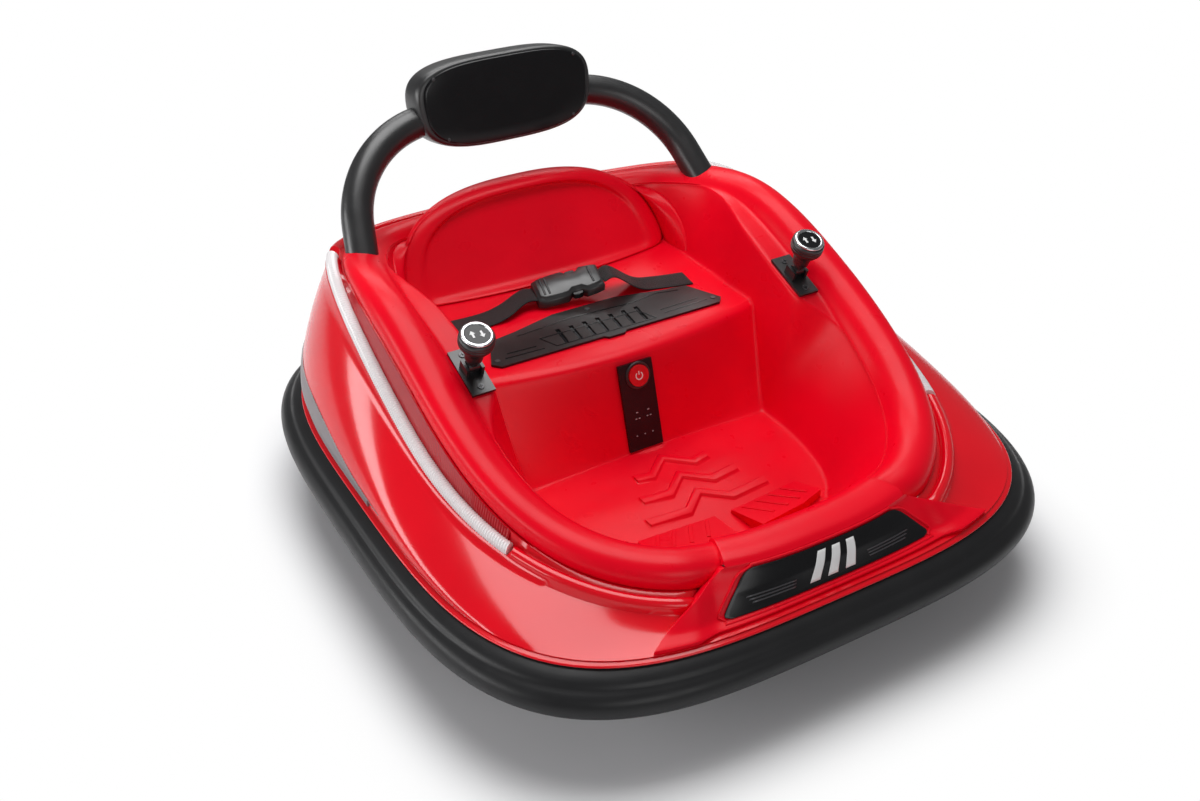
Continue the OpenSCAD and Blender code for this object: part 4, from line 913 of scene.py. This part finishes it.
for side, label in ((1, "left"), (-1, "right")):
    bars = [prism([(x, side * y) for x, y in stroke(a, b, 4.2)], on_foot_pad, -0.3, 1.1)
            for a, b in (((160, 22), (190, 40)), ((157, 40), (188, 59)), ((155, 58), (184, 77)),
                         ((153, 76), (178, 91)))]
    add_mesh(f"foot_bars_{label}", *joined(bars), red_satin, slot="satin_red", bevel=0.5)

# Nose plate: a bead round its recess

border = [(s, -0.07) for s in np.linspace(-1.05, 1.05, 40)] + [(1.05, f) for f in np.linspace(-0.02, 1.02, 10)]
border += [(s, 1.07) for s in np.linspace(1.05, -1.05, 40)] + [(-1.05, f) for f in np.linspace(1.02, -0.02, 10)]
line = np.array([plate_point(s, f, 0.4) for s, f in border])
line_out = np.array([plate_point(s, f, 1.4) for s, f in border]) - line
line_out /= np.linalg.norm(line_out, axis=1)[:, None]
along = np.roll(line, -1, 0) - np.roll(line, 1, 0)
along /= np.linalg.norm(along, axis=1)[:, None]
sideways = np.cross(along, line_out)
bead = [[p + 1.3 * (u * math.cos(a) + v * math.sin(a)) for a in np.linspace(0, 2 * math.pi, 8, endpoint=False)]
        for p, u, v in zip(line, line_out, sideways)]
add_mesh("nose_plate_bead", *grid(bead, True, True), red_satin, slot="satin_red", sharp=math.radians(80))

# Tyres with a road tread

for side, label in ((1, "left"), (-1, "right")):
    profile = ((64, -22), (70, -22.4), (74, -22), (77.4, -19.6), (79.6, -15), (80, -8), (80, -1.2), (80, 1.2),
               (80, 8), (79.6, 15),
               (77.4, 19.6), (74, 22), (70, 22.4), (64, 22))
    rows = []
    for i, a in enumerate(np.linspace(0, 2 * math.pi, 72, endpoint=False)):
        row = []
        for r, w in profile:
            shift = 1 if w > 0 else 0
            cut = 2.6 if (abs(w) > 2 and r > 77 and (i + shift) % 3 == 0) else 0
            row.append((-160 + (r - cut) * math.cos(a), side * 212 + w, 80 + (r - cut) * math.sin(a)))
        rows.append(row)
    add_mesh(f"tread_{label}", *grid(rows, closed_rows=True, closed_columns=True), rubber, body=f"wheel_{label}",
             stands_for=[f"tyre_{label}"], slot="tyre_black", sharp=math.radians(30))

# Stage: a pale floor with a painted shadow, darker round the car, that turns to plain white away from the car, and soft
# light

FLOOR_REACH, SHADOW_REACH, FLOOR_FADE, FLOOR_PAINTED_SHADOW = 7.0, (0.367, 0.348), (0.90, 1.55), (0.95, 1.3)
floor_mesh = bpy.data.meshes.new("floor")
corners = [(FLOOR_REACH * x, FLOOR_REACH * y, 0) for x, y in ((-1, -1), (1, -1), (1, 1), (-1, 1))]
floor_mesh.from_pydata(corners, [], [(0, 1, 2, 3)])
floor = bpy.data.objects.new("floor", floor_mesh)
scene.collection.objects.link(floor)
floor_material, tree, links, shader = node_tree("floor")
shader.inputs["Roughness"].default_value = 0.4
glow = tree.new("ShaderNodeEmission")
place = tree.new("ShaderNodeTexCoord").outputs["Object"]
scaled, squared, length = (tree.new("ShaderNodeVectorMath") for _ in range(3))
scaled.operation, squared.operation, length.operation = "MULTIPLY", "MULTIPLY", "LENGTH"
scaled.inputs[1].default_value = (1 / SHADOW_REACH[0], 1 / SHADOW_REACH[1], 0)
links.new(place, scaled.inputs[0])
links.new(scaled.outputs["Vector"], squared.inputs[0])
links.new(scaled.outputs["Vector"], squared.inputs[1])
links.new(squared.outputs["Vector"], length.inputs[0])
fade = tree.new("ShaderNodeMapRange")
fade.interpolation_type = "SMOOTHSTEP"
fade.inputs["From Min"].default_value, fade.inputs["From Max"].default_value = FLOOR_FADE
links.new(length.outputs["Value"], fade.inputs["Value"])
# Painted shadow: the floor's colour darkens from 0.90 to 0.78 towards the car's outline
shade = tree.new("ShaderNodeMapRange")
shade.inputs["From Min"].default_value, shade.inputs["From Max"].default_value = FLOOR_PAINTED_SHADOW
links.new(length.outputs["Value"], shade.inputs["Value"])
ramp = tree.new("ShaderNodeValToRGB")
ramp.color_ramp.elements[0].color, ramp.color_ramp.elements[1].color = (0.78, 0.78, 0.80, 1), (0.90, 0.90, 0.91, 1)
links.new(shade.outputs["Result"], ramp.inputs["Fac"])
links.new(ramp.outputs["Color"], shader.inputs["Base Color"])
seen = tree.new("ShaderNodeLightPath")
share = tree.new("ShaderNodeMath")
share.operation = "MULTIPLY"
links.new(fade.outputs["Result"], share.inputs[0])
links.new(seen.outputs["Is Camera Ray"], share.inputs[1])
blend = tree.new("ShaderNodeMixShader")
links.new(share.outputs["Value"], blend.inputs["Fac"])
links.new(shader.outputs["BSDF"], blend.inputs[1])
links.new(glow.outputs["Emission"], blend.inputs[2])
links.new(blend.outputs["Shader"], tree["Material Output"].inputs["Surface"])
floor_mesh.materials.append(floor_material)

world = bpy.data.worlds.new("world")
scene.world = world
world.use_nodes = True
tree, links = world.node_tree.nodes, world.node_tree.links
around, plain = tree["Background"], tree.new("ShaderNodeBackground")
around.inputs["Color"].default_value, around.inputs["Strength"].default_value = (1, 1, 1, 1), 0.17
plain.inputs["Color"].default_value, plain.inputs["Strength"].default_value = (1, 1, 1, 1), 1.0
seen, blend = tree.new("ShaderNodeLightPath"), tree.new("ShaderNodeMixShader")
links.new(seen.outputs["Is Camera Ray"], blend.inputs["Fac"])
links.new(around.outputs["Background"], blend.inputs[1])
links.new(plain.outputs["Background"], blend.inputs[2])
links.new(blend.outputs["Shader"], tree["World Output"].inputs["Surface"])


def soft_lamp(name, place, aim, size, watts):
    light = bpy.data.lights.new(name, "AREA")
    light.shape, light.size, light.size_y, light.energy = "RECTANGLE", size[0], size[1], watts
    obj = bpy.data.objects.new(name, light)
    obj.location = place
    obj.rotation_mode = "QUATERNION"
    obj.rotation_quaternion = (Vector(aim) - Vector(place)).to_track_quat("-Z", "Y")
    scene.collection.objects.link(obj)


soft_lamp("top", (-0.55, 0.15, 2.3), (0, 0, 0.15), (1.8, 1.8), 46)
soft_lamp("left", (-0.5, -2.2, 0.75), (-0.05, 0, 0.15), (2.4, 0.5), 24)
soft_lamp("front", (2.4, -0.3, 1.2), (0, 0, 0.15), (1.6, 0.8), 10)
soft_lamp("back", (-2.0, 0.6, 1.6), (-0.2, 0, 0.25), (1.8, 0.6), 12)

# Materials of the CAD nodes that stay

MATERIAL_OF = {
    "seat_plate": dark_plate, "control_panel": black_gloss, "power_button": button_red,
    "foot_pads": red_satin, "chassis_pan": black_satin, "battery": grey_plastic,
    "rear_axle": steel}
PREFIX_MATERIAL = {
    "lever_cap": silver, "lever": black_satin, "gearmotor": grey_plastic, "wheel": grey_plastic, "tyre": rubber,
    "caster_wheel": rubber, "caster": steel, "belt": webbing}
for name, node in nodes.items():
    if node.hide_render:
        continue
    material = MATERIAL_OF.get(name) or next(m for prefix, m in PREFIX_MATERIAL.items() if name.startswith(prefix))
    node.data.materials.clear()
    node.data.materials.append(material)
    if name in ("seat_plate", "control_panel", "foot_pads", "battery"):
        round_edges(node, 0.8)
